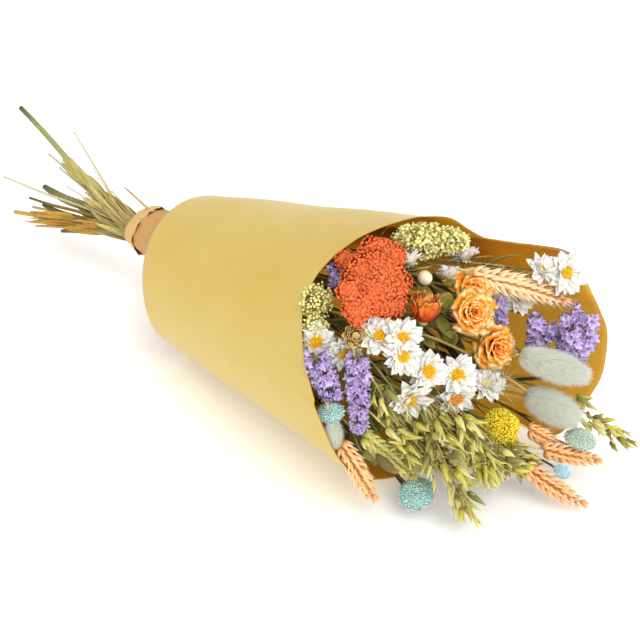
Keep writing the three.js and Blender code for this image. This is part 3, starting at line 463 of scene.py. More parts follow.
def times(nt, a, b):
    n = nt.nodes.new('ShaderNodeMath'); n.operation = 'MULTIPLY'
    nt.links.new(a, n.inputs[0])
    if isinstance(b, (int, float)):
        n.inputs[1].default_value = b
    else:
        nt.links.new(b, n.inputs[1])
    return n.outputs[0]


def bump(nt, p, height, strength, distance):
    n = nt.nodes.new('ShaderNodeBump')
    n.inputs['Strength'].default_value, n.inputs['Distance'].default_value = strength, distance
    nt.links.new(height, n.inputs['Height'])
    nt.links.new(n.outputs['Normal'], p.inputs['Normal'])


MATS = {}


def material(name, rough=.65, spec=.3, sheen=0., sss=0.):
    m = bpy.data.materials.new(name)
    m.use_nodes = True
    p = m.node_tree.nodes['Principled BSDF']
    p.inputs['Roughness'].default_value = rough
    p.inputs['Specular IOR Level'].default_value = spec
    if sheen:
        p.inputs['Sheen Weight'].default_value = sheen
    if sss:
        p.inputs['Subsurface Weight'].default_value = sss
        p.inputs['Subsurface Radius'].default_value = (1.0, .7, .5)
        p.inputs['Subsurface Scale'].default_value = .0015
    MATS[name] = m
    return m, m.node_tree, p


def plant(name, stops, by='grad', rim=None, tone=(.82, 1.12), shift=None, spots=None, scale=500, amt=.16, rough=.65, spec=.3, sheen=0., bumps=None, sss=0., veins=None):
    """Petal, leaf or stalk: a ramp along it, another toward its rim, each element a little lighter or darker, fine mottling."""
    m, nt, p = material(name, rough, spec, sheen, sss)
    col = ramp(nt, attr(nt, by), stops)
    if rim:
        col = mixed(nt, col, rim[0], ramp_val(nt, attr(nt, 'edge'), rim[1]))
    if shift:
        col = mixed(nt, col, shift[0], ramp_val(nt, attr(nt, 'tone'), shift[1]))
    if spots:
        col = mixed(nt, col, spots[0], ramp_val(nt, noise(nt, spots[1], 3), spots[2]))
    val = grey(nt, attr(nt, 'tone'), tone[0], tone[1])
    val = times(nt, val, grey(nt, noise(nt, scale, 3, .6), 1 - amt, 1 + amt, .3, .7))
    if veins:
        val = times(nt, val, grey(nt, wave(nt, veins[0]), 1 - veins[1], 1 + veins[1] * .4))
    col = scaled(nt, col, val)
    nt.links.new(col, p.inputs['Base Color'])
    if bumps:
        bump(nt, p, noise(nt, bumps[0], 3, .6), bumps[1], bumps[2])
    return m


def wave(nt, count):
    """Fine parallel ribs across an element, from its edge number."""
    a = times(nt, attr(nt, 'edge'), float(count))
    n = nt.nodes.new('ShaderNodeMath'); n.operation = 'SINE'
    nt.links.new(a, n.inputs[0])
    return grey(nt, n.outputs[0], 0., 1., -1., 1.)


def ramp_val(nt, fac, pts):
    """Number curve from a few (position, value) points."""
    n = nt.nodes.new('ShaderNodeValToRGB')
    e = n.color_ramp.elements
    while len(e) < len(pts):
        e.new(0.5)
    for x, (q, v) in zip(e, pts):
        x.position, x.color = q, (v, v, v, 1)
    nt.links.new(fac, n.inputs['Fac'])
    return n.outputs['Color']


def paper(name, col, pale, dark, rough, fibres=.05, glow=.0, sheen=.0, depth=.0012, lift=.0):
    m, nt, p = material(name, rough, .24, sheen)
    if sheen:
        p.inputs['Sheen Roughness'].default_value = .45
    if glow:
        p.inputs['Subsurface Weight'].default_value = glow
        p.inputs['Subsurface Radius'].default_value = (1.0, .84, .56)
        p.inputs['Subsurface Scale'].default_value = depth
    big = noise(nt, 9, 3, .55)
    fine = noise(nt, 900, 3, .7, (1, .35, .35))
    fleck = noise(nt, 420, 2, .8, (.35, 1, 1))
    c = mixed(nt, col, pale, ramp_val(nt, big, [(.38, 0), (.66, .55)]))
    c = mixed(nt, c, dark, ramp_val(nt, fleck, [(.62, 0), (.8, .5)]))
    c = scaled(nt, c, grey(nt, fine, 1 - fibres, 1 + fibres, .3, .7))
    if lift:
        # painted light: over the free corner the base colour is brightened by a factor of up to 1 + lift, standing in
        # for the light that its single layer lets through more than the double wall
        sep = nt.nodes.new('ShaderNodeSeparateXYZ')
        nt.links.new(nt.nodes.new('ShaderNodeNewGeometry').outputs['Position'], sep.inputs[0])
        up = grey(nt, sep.outputs['Z'], .0, 1., .104, .127)
        out = grey(nt, sep.outputs['X'], .0, lift, .168, .207)
        painted_light_gain = nt.nodes.new('ShaderNodeMath')
        painted_light_gain.operation = 'MULTIPLY_ADD'
        nt.links.new(up, painted_light_gain.inputs[0])
        nt.links.new(out, painted_light_gain.inputs[1])
        painted_light_gain.inputs[2].default_value = 1.
        c = scaled(nt, c, painted_light_gain.outputs[0])
    nt.links.new(c, p.inputs['Base Color'])
    bump(nt, p, fine, .25, .0003)
    return m


# ------------------------------------------------------------------ where things may be
def half_width(x):
    return SLEEVE_R0 + SLEEVE_TAPER * x


RIM_A = np.array([a for a, _ in RIM] + [180.0])
RIM_X = np.array([x for _, x in RIM] + [float(RIM[0][1])])


def rim_x(deg):
    """X of the mouth edge at an angle round the sleeve, with its corners a little rounded."""
    deg = (np.asarray(deg, float) + 180) % 360 - 180
    k = np.linspace(-.8, .8, 7)
    w = np.exp(-k ** 2 / .3); w /= w.sum()
    return sum(wi * pchip(RIM_A, RIM_X, (deg + ki + 180) % 360 - 180) for wi, ki in zip(w, k))


def narrow_x(deg):
    d = (np.asarray(deg, float) - 122 + 540) % 360 - 180
    return -99.7 - 19.7 * np.cos(np.radians(deg)) - 7.2 * np.sin(np.radians(deg)) - 10.5 * np.exp(-d * d / 1800)


def confine(V, inset=1.3, floor=.5):
    """Keeps points inside the paper and above the surface: parts that press on the wrap flatten against it."""
    V = V.copy()
    x = np.clip(V[:, 0], -125, 230)
    R = half_width(x); lift = FLATK * R * (1 - math.cos(math.radians(8)))
    c, s = V[:, 1] / (R - inset), (V[:, 2] + lift - FLATK * R) / (FLATK * R - inset)
    q = np.hypot(c, s)
    deg = np.degrees(np.arctan2(s, c))
    near = (V[:, 0] > narrow_x(deg) - 4) & (V[:, 0] < rim_x(deg) + 1.5) & (q > 1) & (q < 1.3)
    k = np.where(near, 1 / q, 1.0)
    V[:, 1] *= k
    V[:, 2] = (V[:, 2] + lift - FLATK * R) * k - lift + FLATK * R
    V[:, 2] = np.maximum(V[:, 2], floor)
    return V


def make(name, b, mats, node=None, hold=True, flat=(), uv=None):
    """One Blender object from a Build, standing for one CAD node."""
    V = np.vstack(b.V)
    if hold:
        V = confine(V)
    V = (V + SHIFT) / 1000
    A = np.vstack(b.A)
    Q = np.vstack(b.Q); T = np.vstack(b.T)
    mi = np.concatenate(b.qm + b.tm).astype(np.int32)
    loops = np.concatenate([Q.ravel(), T.ravel()]).astype(np.int32)
    starts = np.concatenate([np.arange(len(Q)) * 4, len(Q) * 4 + np.arange(len(T)) * 3]).astype(np.int32)
    me = bpy.data.meshes.new(name)
    me.vertices.add(len(V)); me.vertices.foreach_set('co', V.astype(np.float32).ravel())
    me.loops.add(len(loops)); me.loops.foreach_set('vertex_index', loops)
    me.polygons.add(len(starts)); me.polygons.foreach_set('loop_start', starts)
    me.polygons.foreach_set('material_index', mi)
    me.polygons.foreach_set('use_smooth', ~np.isin(mi, list(flat)))
    for i, nm in enumerate(('tone', 'grad', 'edge')):
        a = me.attributes.new(nm, 'FLOAT', 'POINT')
        a.data.foreach_set('value', np.ascontiguousarray(A[:, i]))
    layer = me.uv_layers.new(name='OFBake')
    if uv is None:
        lm = np.concatenate([np.repeat(mi[:len(Q)], 4), np.repeat(mi[len(Q):], 3)])
        u = (lm + .04 + .92 * A[loops, 1]) / len(mats)
        v = .02 + .96 * np.clip(A[loops, 0] * .8 + A[loops, 2] * .2, 0, 1)
        uvs = np.stack([u, v], 1)
    else:
        uvs = uv[loops]
    layer.uv.foreach_set('vector', uvs.astype(np.float32).ravel())
    for m in mats:
        me.materials.append(MATS[m])
    me.update(calc_edges=True)
    me.validate()
    o = bpy.data.objects.new(name, me)
    bpy.context.scene.collection.objects.link(o)
    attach(o, "root")
    if node:
        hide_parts(node)
    return o


# ------------------------------------------------------------------ building blocks
BEAD = lathe([(-1, 0), (-.7, .72), (0, 1), (.7, .72), (1, 0)], 7)
BEAD_LOW = lathe([(-.7, 0), (-.3, .9), (.45, .8), (.9, 0)], 6)
GRAIN = lathe([(-.4, 0), (-.3, .8), (.3, 1), (.8, .62), (.7, 0)], 6)


def scale3(M, s):
    s = np.asarray(s, float)
    return M * (s[:, None, None] if s.ndim == 1 else s[:, None, :])


def ring(b, F, at, tpls, n, r0, z0, length, elev, rg, mat=0, jl=.1, je=.1, off=0., tone=(.3, .7), ja=.08, roll=.12, arc=None):
    """A ring of petals round axis F[:,2] at a point; elev is their rise from flat in radians."""
    k = np.arange(n)
    az = (k + off) / n * 2 * math.pi + rg.uniform(-ja, ja, n) * 2 * math.pi / n * 3
    e = elev + rg.uniform(-je, je, n)
    L = length * (1 + rg.uniform(-jl, jl, n))
    rad = np.stack([np.cos(az), np.sin(az), 0 * az], 1)
    up = np.array([0, 0, 1.0])
    along = rad * np.cos(e)[:, None] + up * np.sin(e)[:, None]
    nrm = up * np.cos(e)[:, None] - rad * np.sin(e)[:, None]
    side = np.cross(along, nrm)
    nrm = unit(nrm + side * rg.uniform(-roll, roll, n)[:, None])
    M = np.einsum('ij,njk->nik', F, basis_y(along, nrm))
    M = scale3(M, L)
    P = np.asarray(at, float) + (rad * r0 + up * z0) @ F.T
    tn = rg.uniform(tone[0], tone[1], n)
    which = rg.randint(0, len(tpls), n)
    for i, t in enumerate(tpls):
        m = which == i
        if m.any():
            b.inst(t, M[m], P[m], mat, tn[m])


def cap_points(n, half, flat=1.0):
    """Evenly spread points on a cap of a unit ball round +z, and their outward directions."""
    k = np.arange(n) + .5
    th = np.arccos(1 - k / n * (1 - math.cos(half)))
    ph = k * GOLD
    d = np.stack([np.sin(th) * np.cos(ph), np.sin(th) * np.sin(ph), np.cos(th)], 1)
    return d, th, ph


def head_path(start, tangent, at, d, back, n=10, pull=.42):
    """Stalk that leaves start along tangent and comes into a head from behind."""
    end = np.asarray(at, float) - unit(d) * back
    L = np.linalg.norm(end - start)
    return bezier(start, start + unit(tangent) * L * pull, end - unit(d) * L * pull, end, n)


def wobble(P, rg, amp):
    """Bends a path a little, its ends kept."""
    n = len(P); t = np.linspace(0, 1, n)
    d = unit(P[-1] - P[0])
    F = basis_z(d)[0]
    a, c, ph, ph2 = rg.uniform(-1, 1) * amp, rg.uniform(-1, 1) * amp, rg.uniform(0, 6), rg.uniform(0, 6)
    w1 = np.sin(math.pi * t) * np.sin(2.2 * math.pi * t + ph) * a
    w2 = np.sin(math.pi * t) * np.sin(2.7 * math.pi * t + ph2) * c
    return P + w1[:, None] * F[:, 0] + w2[:, None] * F[:, 1]


def leaf(b, base, along, up, L, tplt, mat, tone, k=1.0):
    M = basis_y(unit(along), unit(up))[0] * L
    b.add(tplt.moved(M, base), mat, tone)


VIA = {'harestail_upper': [[177.5, 33.0, 84.5], [191.0, 33.5, 88.0]]}


def stems(b, row, rg, smat, r=1.0, sides=7, heads_back=None, ped=.7, ridge=.06, tail_mat=None, droop=0.):
    """The node's cut stem from its free end or stub, through the tied waist, to its heads. Returns the main path."""
    w = np.array([-192.0, row['slot'][0], row['slot'][1]])
    out = np.array([-212.0 - (12 if 'tail' in row else row['stub']), row['slot'][0], row['slot'][1]])
    end = np.array(row['end'], float)
    heads = row['heads']
    heads_back = heads_back or [h['r'] * .3 for h in heads]
    u = unit(end - w)
    if row.get('fork'):
        main = np.vstack([out[None], w[None] + [[-8, 0, 0]], wobble(w + (end - w) * np.linspace(0, 1, 12)[:, None], rg, 1.0)])
        b.add(tube(main, np.linspace(r, r * .9, len(main)), sides, ridge), smat, rg.uniform(.3, .7))
        for h, back in zip(heads, heads_back):
            P = head_path(end - u * 1.0, u, h['at'], h['dir'], back, 11)
            b.add(tube(P, np.linspace(ped * 1.05, ped, len(P)), max(5, sides - 1), ridge), smat, rg.uniform(.3, .7))
        path = main
    else:
        h, back = heads[0], heads_back[0]
        L = np.linalg.norm(end - w)
        q = w + u * (L - min(60, L * .3))
        P1 = wobble(w + (q - w) * np.linspace(0, 1, 10)[:, None], rg, .8)
        P2 = head_path(q, u, h['at'], h['dir'], back, 10, .4)
        if row['name'] in VIA:
            P2 = catmull(np.vstack([q, VIA[row['name']], P2[-1]]), 5)
        main = np.vstack([out[None], w[None] + [[-8, 0, 0]], P1, P2[1:]])
        b.add(tube(main, np.linspace(r, r * .82, len(main)), sides, ridge), smat, rg.uniform(.3, .7))
        path = main
    if 'tail' in row:
        tip = np.array(row['tail'], float); R = row['tailR']
        t = np.array([0, .2, .42, .6, .8, 1.0])
        P = out + (tip - out) * t[:, None]
        P = np.vstack([out + [6, 0, 0], P])
        rr = np.array([min(r, R), min(r, R), min(r, R) * 1.02, R, R * .96, R * .9, R * .8])
        PP = catmull(P, 5)
        rr = np.interp(np.linspace(0, len(rr) - 1, len(PP)), np.arange(len(rr)), rr)
        PP = wobble(PP, rg, 1.2)
        b.add(tube(PP, rr, 10, .05, 4), smat if tail_mat is None else tail_mat, rg.uniform(.35, .65))
        row['tailpath'], row['tailr'] = PP, rr
    return path


# ------------------------------------------------------------------ flower heads
def daisy_tpls(rg, asp=.60):
    out = []
    for i in range(7):
        out.append(petal(asp * rg.uniform(.85, 1.15), 6, 9, 'star', rg.uniform(-.1, .35), rg.uniform(-.12, .18), rg.uniform(-.6, .45), rg.uniform(.05, .3), rg.uniform(.015, .05), 1.6, rg.uniform(0, 6), .03, rg.uniform(-.5, .5)))
    return out


def daisy(b, at, d, R, rg, open_=1.0, disc=.37, pm=0, dm=1, gm=2, low=0., nlay=4, dtone=(.35, .8)):
    """White papery pointed bracts in a few uneven rows round a yellow disc of tiny florets."""
    F = basis_z(d, np.array([rg.uniform(0, 6)]))[0]
    at = np.asarray(at, float)
    tp = daisy_tpls(rg)
    rd = disc * R
    b.add(lathe([(-.42, 0), (-.4, .1), (-.2, .26), (-.05, .34), (.02, .3), (.05, 0)], 12).moved(F * R, at), gm, .5)
    ring(b, F, at, daisy_tpls(rg, .5), 9, .10 * R, -.16 * R, .42 * R, -.3 + .5 * low, rg, pm, .15, .2, 0, (.05, .3))
    lift = (1 - open_) * 1.2
    lay = [(10, .16, -.08, .92, -.08), (10, .17, -.03, .90, .08), (9, .18, .01, .84, .24), (7, .20, .04, .74, .44), (5, .24, .06, .56, .72)][:nlay + 1]
    for i, (n, r0, z0, L, e) in enumerate(lay):
        ring(b, F, at, tp, n, r0 * R * (1 if open_ > .6 else .7), z0 * R, L * R, e + lift, rg, pm, .13, .17, i * .47, (.35, .95), .16, .3)
    n = 110
    half = math.radians(80)
    dd, th, ph = cap_points(n, half)
    kk = rd / math.sin(half)
    hgt = .42 * rd
    P = np.stack([dd[:, 0] * kk, dd[:, 1] * kk, (dd[:, 2] - math.cos(half)) / (1 - math.cos(half)) * hgt + .08 * R], 1)
    b.add(lathe([(-.2, 0), (-.1, .9), (.1, 1), (.6, .72), (.92, .3), (1, 0)], 16).moved(F @ np.diag([rd, rd, hgt]), at + F[:, 2] * .06 * R), dm, .15)
    dirs = unit(dd * [.8, .8, 1]) @ F.T
    sz = rd * rg.uniform(.10, .13, n)
    M = scale3(basis_z(dirs, rg.uniform(0, 6, n)), np.stack([sz, sz, rg.uniform(.14, .28, n) * rd], 1))
    b.inst(GRAIN, M, at + P @ F.T, dm, rg.uniform(dtone[0], dtone[1], n), None)


def floret_tpl(rg, lobes=5):
    """One yarrow floret: a domed, faintly lobed button with a dimple and a few raised points in it."""
    t = lathe([(-.9, 0), (-.75, .34), (-.3, .62), (.12, .90), (.46, .84), (.66, .58), (.66, .32), (.50, 0)], 12, 1, rg.uniform(.86, 1), lobes, .13)
    x, y, z = t.V.T
    t.V = np.stack([x, y, z + .07 * np.sin(3 * x + rg.uniform(0, 6)) + .06 * np.sin(4 * y + rg.uniform(0, 6))], 1)
    parts = [t]
    for i in range(4):
        a = i / 4 * 2 * math.pi + rg.uniform(-.5, .5)
        parts.append(BEAD_LOW.moved(np.diag([.16, .16, .26]), (.24 * math.cos(a), .24 * math.sin(a), .62)))
    t = join(parts)
    r = np.hypot(t.V[:, 0], t.V[:, 1])
    t.grad = np.clip((t.V[:, 2] + .35) / 1.0, 0, 1)
    t.edge = np.clip(r, 0, 1)
    return t


def yarrow_dome(b, at, d, R, h, rg, stalk_from, fm=0, gm=1, pitch=2.15):
    """Flat umbel: one lumpy skin of tiny florets over many branching stalks."""
    F = basis_z(d)[0]
    at = np.asarray(at, float)
    T = R * h
    n = int(math.pi * R * R / (.80 * pitch * pitch))
    k = np.arange(n) + .5
    ang = k * GOLD
    q = np.sqrt(k / n)
    p = rg.uniform(0, 6, 6)
    edge = 1 + .06 * np.sin(3 * ang + p[0]) + .045 * np.sin(5 * ang + p[1]) + .035 * np.sin(9 * ang + p[2])
    X, Y = R * .97 * q * edge * np.cos(ang) + rg.uniform(-.42, .42, n) * pitch, R * .97 * q * edge * np.sin(ang) + rg.uniform(-.42, .42, n) * pitch
    def skin(X, Y):
        r = np.hypot(X, Y) / R
        lump = .50 * np.sin(X / 3.1 + p[3]) * np.sin(Y / 3.3 + p[4]) + .55 * np.sin((X + Y) / 4.6 + p[5]) * np.cos((X - Y) / 4.1 + p[0])
        return T * (.93 - .95 * np.clip(r, 0, 1.05) ** 2.7) + lump
    Z = skin(X, Y)
    e = .4
    N = unit(np.stack([-(skin(X + e, Y) - skin(X - e, Y)) / (2 * e), -(skin(X, Y + e) - skin(X, Y - e)) / (2 * e), np.ones(n)], 1))
    # the skin turns under at the rim
    fl = [floret_tpl(rg, 5 + i % 2) for i in range(5)]
    P = np.stack([X, Y, Z + rg.uniform(-.5, .4, n)], 1)
    m = max(16, int(2 * math.pi * R / pitch))
    a2 = np.arange(m) / m * 2 * math.pi
    e2 = 1 + .06 * np.sin(3 * a2 + p[0]) + .045 * np.sin(5 * a2 + p[1]) + .035 * np.sin(9 * a2 + p[2])
    low = np.concatenate([np.stack([R * f * e2 * np.cos(a2 + o), R * f * e2 * np.sin(a2 + o), -T * g + 0 * a2], 1) for f, g, o in ((1.0, .10, .0), (.97, .34, .05), (.90, .56, .02))])
    lowN = unit(low * [1, 1, .2] + [0, 0, -.2 * R])
    P, N = np.vstack([P, low]), np.vstack([N, lowN])
    n = len(P)
    D = unit(N + rg.uniform(-.22, .22, (n, 3)))
    M = scale3(basis_z(D @ F.T, rg.uniform(0, 6, n)), rg.uniform(.48, .66, n) * pitch)
    wh = rg.randint(0, 5, n)
    for i in range(5):
        s_ = wh == i
        b.inst(fl[i], M[s_], at + P[s_] @ F.T, fm, rg.uniform(0, 1, s_.sum()))
    rows = [(-.62, 0), (-.5, .55), (-.2, .9), (.0, .96), (.3, .88), (.6, .66), (.78, .4), (.86, 0)]
    b.add(lathe(rows, 26).moved(F @ np.diag([R * .96, R * .96, T]), at), fm, .02)
    s0 = np.asarray(stalk_from, float)
    nb = max(5, int(R * 1.2))
    k = np.arange(nb) + .5
    B = np.stack([R * .8 * np.sqrt(k / nb) * np.cos(k * GOLD), R * .8 * np.sqrt(k / nb) * np.sin(k * GOLD), -T * .45 + 0 * k], 1)
    for c in B:
        p1 = at + c @ F.T
        b.add(tube(bezier(s0, s0 + (p1 - s0) * .35 + F[:, 2] * 1.5, p1 - F[:, 2] * 4, p1 + F[:, 2] * T * .2, 6), [.85, .8, .75, .7, .62, .6], 5), gm, rg.uniform(.2, .8))


def rose(b, at, d, R, rg, kind='open', pm=0, gm=1):
    """Dried spray rose: a spiral of thin crinkled petals with turned-back rims, in a calyx."""
    F = basis_z(d, np.array([rg.uniform(0, 6)]))[0]
    at = np.asarray(at, float)
    N = {'open': 21, 'back': 14, 'bud': 14}[kind]
    nu, nv = 26, 14
    s, t = np.linspace(-1, 1, nu + 1)[None], np.linspace(0, 1, nv + 1)[:, None]
    z0 = -.62 * R
    for k in range(N):
        f = k / (N - 1)
        phi = k * GOLD + rg.uniform(-.25, .25)
        w = lambda: rg.uniform(0, 6.28)
        crinkle = (np.sin(3.1 * s + w()) + .75 * np.sin(6.7 * s + w()) + .6 * np.sin(11.5 * s + w()) + .5 * np.sin(19 * s + w()))
        crink2 = (np.sin(4.3 * s + w()) + .7 * np.sin(8.9 * s + w()) + .6 * np.sin(15 * s + w()))
        if kind == 'bud':
            span = math.radians(190 - 75 * f)
            rt = R * (.10 + .62 * f ** .8)
            top = R * (1.32 - .20 * f + rg.uniform(-.12, .08))
            rad = rt * (.42 + 1.02 * np.sin(math.pi * (.10 + .62 * t)) * (1 - (.50 - .1 * f) * t ** 3))
            if k >= N - 4:
                rad = rad + R * .42 * np.clip(t - .62, 0, 1) ** 2 * 3.2
                top = R * rg.uniform(.75, 1.12)
            amp = R * (.03 + .075 * f)
        else:
            span = math.radians(156 - 56 * f)
            rt = R * (.07 + .80 * f ** .95)
            top = R * (.40 + .16 * math.sin(math.pi * min(1, f * 1.25)) - .42 * f ** 2.4 + rg.uniform(-.08, .08))
            rad = rt * (.22 + .78 * t ** .6) + R * (.03 + .18 * f ** 1.5) * t ** 3.5
            amp = R * (.022 + .036 * f)
        cut = 1 - .10 * s ** 2 - .16 * s ** 6 + .034 * crink2 * t ** 4
        zz = z0 + (top - z0) * t * cut
        width = .42 + .58 * np.sin(math.pi * np.clip(t * .62 + .05, 0, .5))
        an = phi + s * span / 2 * width
        radius = rad + amp * t ** 3 * crinkle * .62 + R * (.02 + .12 * f) * (np.abs(s) ** 3) * t ** 2
        roll = np.clip(t - .78, 0, 1) / .22
        radius = radius + R * (.05 + .15 * f) * roll ** 1.5
        zz = zz - R * (.03 + .13 * f) * roll ** 2 + amp * .55 * t ** 3 * crink2
        fold = .022 if kind != 'bud' else .05
        radius = radius + R * fold * np.sin(9 * t + 5 * s + phi) * t + R * fold * .75 * np.sin(17 * s + 6 * t) * t * (1 if kind != 'bud' else np.sin(math.pi * t) + .3)
        S = np.stack([radius * np.cos(an), radius * np.sin(an), zz + 0 * s], -1)
        E = np.clip(np.maximum(np.clip((t - .55) / .45, 0, 1) ** 1.1 + 0 * s, (np.abs(s) ** 3) * np.clip(t * 1.4, 0, 1) * .9) + .10 * crink2 * t ** 2, 0, 1)
        tp = sheet(S, .22, None, E)
        b.add(tp.moved(F, at), pm, np.clip(rg.normal(.5, .22), 0, 1))
    b.add(lathe([(-1.06, 0), (-1.04, .12), (-.92, .30), (-.74, .36), (-.58, .33), (-.5, .2), (-.5, 0)], 12, 1, 1, 5, .05).moved(F * R, at), gm, .45)
    sp = [petal(.30, 3, 6, 'leaf', .3, .2, rg.uniform(.2, .9), .2, .02, 2, i, .03, .3) for i in range(3)]
    ring(b, F, at, sp, 5, .26 * R, -.62 * R, (.95 if kind == 'bud' else .85) * R, 1.05 if kind == 'bud' else .5, rg, gm, .15, .25, 0, (.3, .7))


def statice_tpl(rg):
    """Papery trumpet calyx with a ruffled five-lobed rim and a tiny pale flower in it."""
    n = 20
    a = np.arange(n) / n * 2 * math.pi
    prof = [(0, .10), (.45, .17), (.72, .36), (.92, .74), (1.0, 1.0)]
    rows = []
    ph = rg.uniform(0, 6)
    for i, (z, r) in enumerate(prof):
        f = i / 4
        rr = r * (1 + .16 * f * np.cos(5 * a + ph) + .15 * f * np.sin(8 * a + ph * 3) + .12 * f * np.sin(3 * a + ph * 5))
        zz = z * 1.45 + .30 * f * f * np.sin(5 * a + ph) + .20 * f * f * np.sin(9 * a + ph * 2) + .16 * f * f * np.sin(2 * a + ph * 4)
        rows.append(np.stack([rr * np.cos(a), rr * np.sin(a), zz], 1))
    th = .05
    V = np.vstack(rows + [np.stack([(np.hypot(q[:, 0], q[:, 1]) - th) * np.cos(a), (np.hypot(q[:, 0], q[:, 1]) - th) * np.sin(a), q[:, 2] + .015], 1) for q in rows[3:0:-1]] + [[[0, 0, .62], [0, 0, -.02]]])
    i = np.arange(n); j = (i + 1) % n
    nr = len(rows) + 3
    Q = np.concatenate([np.stack([q * n + i, q * n + j, (q + 1) * n + j, (q + 1) * n + i], -1) for q in range(nr - 1)])
    T = np.vstack([np.stack([np.full(n, nr * n), (nr - 1) * n + i, (nr - 1) * n + j], -1), np.stack([np.full(n, nr * n + 1), j, i], -1)])
    z = V[:, 2]; g = np.clip(z / 1.6, 0, 1)
    t = Tpl(V, Q, T, g, np.clip(np.hypot(V[:, 0], V[:, 1]), 0, 1))
    base = lathe([(-.1, 0), (0, .13), (.3, .2), (.6, .15), (.7, 0)], 6)
    base.qm[:] = 1; base.tm[:] = 1
    pet = []
    for k in range(5):
        c, s_ = math.cos(k * 1.2566 + ph), math.sin(k * 1.2566 + ph)
        M = np.array([[c, -s_, 0], [s_, c, 0], [0, 0, 1]]) @ np.diag([.13, .19, .07])
        pet.append(BEAD_LOW.moved(M, (-s_ * .2, c * .2, 1.12)))
    fl = join(pet); fl.qm[:] = 2; fl.tm[:] = 2; fl.grad[:] = .5
    return t, base, fl


def statice(b, at, d, R, L, rg, n, width=1.0, cm=0, gm=1, wm=2, size=3.1, face=None, branches=1, spread=0.):
    """Clusters of papery trumpets along a winged stalk."""
    F = basis_z(d)[0]
    at = np.asarray(at, float)
    trip = [statice_tpl(rg) for _ in range(9)]
    ax = []
    for q in range(branches):
        a = q / max(branches, 1) * 2 * math.pi + .6
        off = (F[:, 0] * math.cos(a) + F[:, 1] * math.sin(a)) * R * spread
        P = bezier(at - unit(d) * 6, at + unit(d) * L * .15, at + off + unit(d) * L * (.4 if branches > 1 else .55), at + off * 1.15 + unit(d) * L * (rg.uniform(.75, .95) if branches > 1 else .92), 9)
        ax.append(P)
        b.add(tube(P, np.linspace(1.1, .5, 9), 6, .25, 3), gm, .5)
    for i in range(n):
        P = ax[i % branches]
        f = (i // branches + rg.uniform(0, 1)) / (n / branches)
        f = min(.999, .04 + .96 * f)
        x = f * (len(P) - 1); k = int(x)
        c = P[k] + (P[min(k + 1, len(P) - 1)] - P[k]) * (x - k)
        a = i * GOLD + rg.uniform(-.4, .4)
        prof = (.78 + .3 * math.sin(math.pi * min(1, f * 1.15))) * (1 - .35 * max(0, f - .75) * 4 * .5)
        out = F[:, 0] * math.cos(a) + F[:, 1] * math.sin(a)
        if face is not None:
            out = unit(out + np.asarray(face) * .55)
        dr = unit(out + unit(d) * rg.uniform(.15, .8) + rg.uniform(-.25, .25, 3))
        sz = size * rg.uniform(.82, 1.15)
        rr = max(0, (R * width * prof if branches == 1 else R * width * .55 * prof) - sz * 1.1) * rg.uniform(.45, 1)
        p = c + out * rr
        t, base, fl = trip[rg.randint(9)]
        M = basis_z(dr, np.array([rg.uniform(0, 6)]))[0] * sz
        M = M @ np.diag([rg.uniform(.75, 1.15), rg.uniform(.75, 1.15), rg.uniform(.8, 1.15)])
        tn = np.clip(rg.normal(.5, .2), 0, 1)
        b.add(t.moved(M, p), cm, tn)
        b.add(Tpl(base.V, base.Q, base.T, base.grad, base.edge).moved(M, p), gm, tn)
        if rg.rand() < .22:
            b.add(Tpl(fl.V, fl.Q, fl.T, fl.grad, fl.edge).moved(M, p), wm, tn)
        b.add(tube(np.array([c, (c + p) / 2 - dr * .3, p + dr * .2]), [.5, .42, .36], 4), gm, tn)


def lemma(rg, awn=.5, plump=.175):
    """One wheat scale with its grain: a boat-shaped body, keel, and a short bristle."""
    prof = [(0, 0), (.04, .30), (.16, .74), (.32, 1.0), (.48, .96), (.64, .74), (.78, .48), (.90, .26), (1.0, .12), (1.0 + awn * .4, .05), (1.0 + awn, 0)]
    t = lathe([(z, r * plump) for z, r in prof], 9, 1.0, .62, 2, .0)
    x, y, z = t.V.T
    x = x * (1 + .0 * z)
    y = y + .10 * np.sin(math.pi * np.clip(z, 0, 1)) - .02 - .06 * np.clip(z - .9, 0, 2) ** 1.3
    y = y + .028 * (np.abs(x) < .03) * (y > 0)
    t.V = np.stack([x + rg.uniform(-.02, .02) * np.clip(z, 0, 2) ** 2, y, z], 1)
    t.grad = np.clip(z / (1 + awn * .6), 0, 1)
    return t


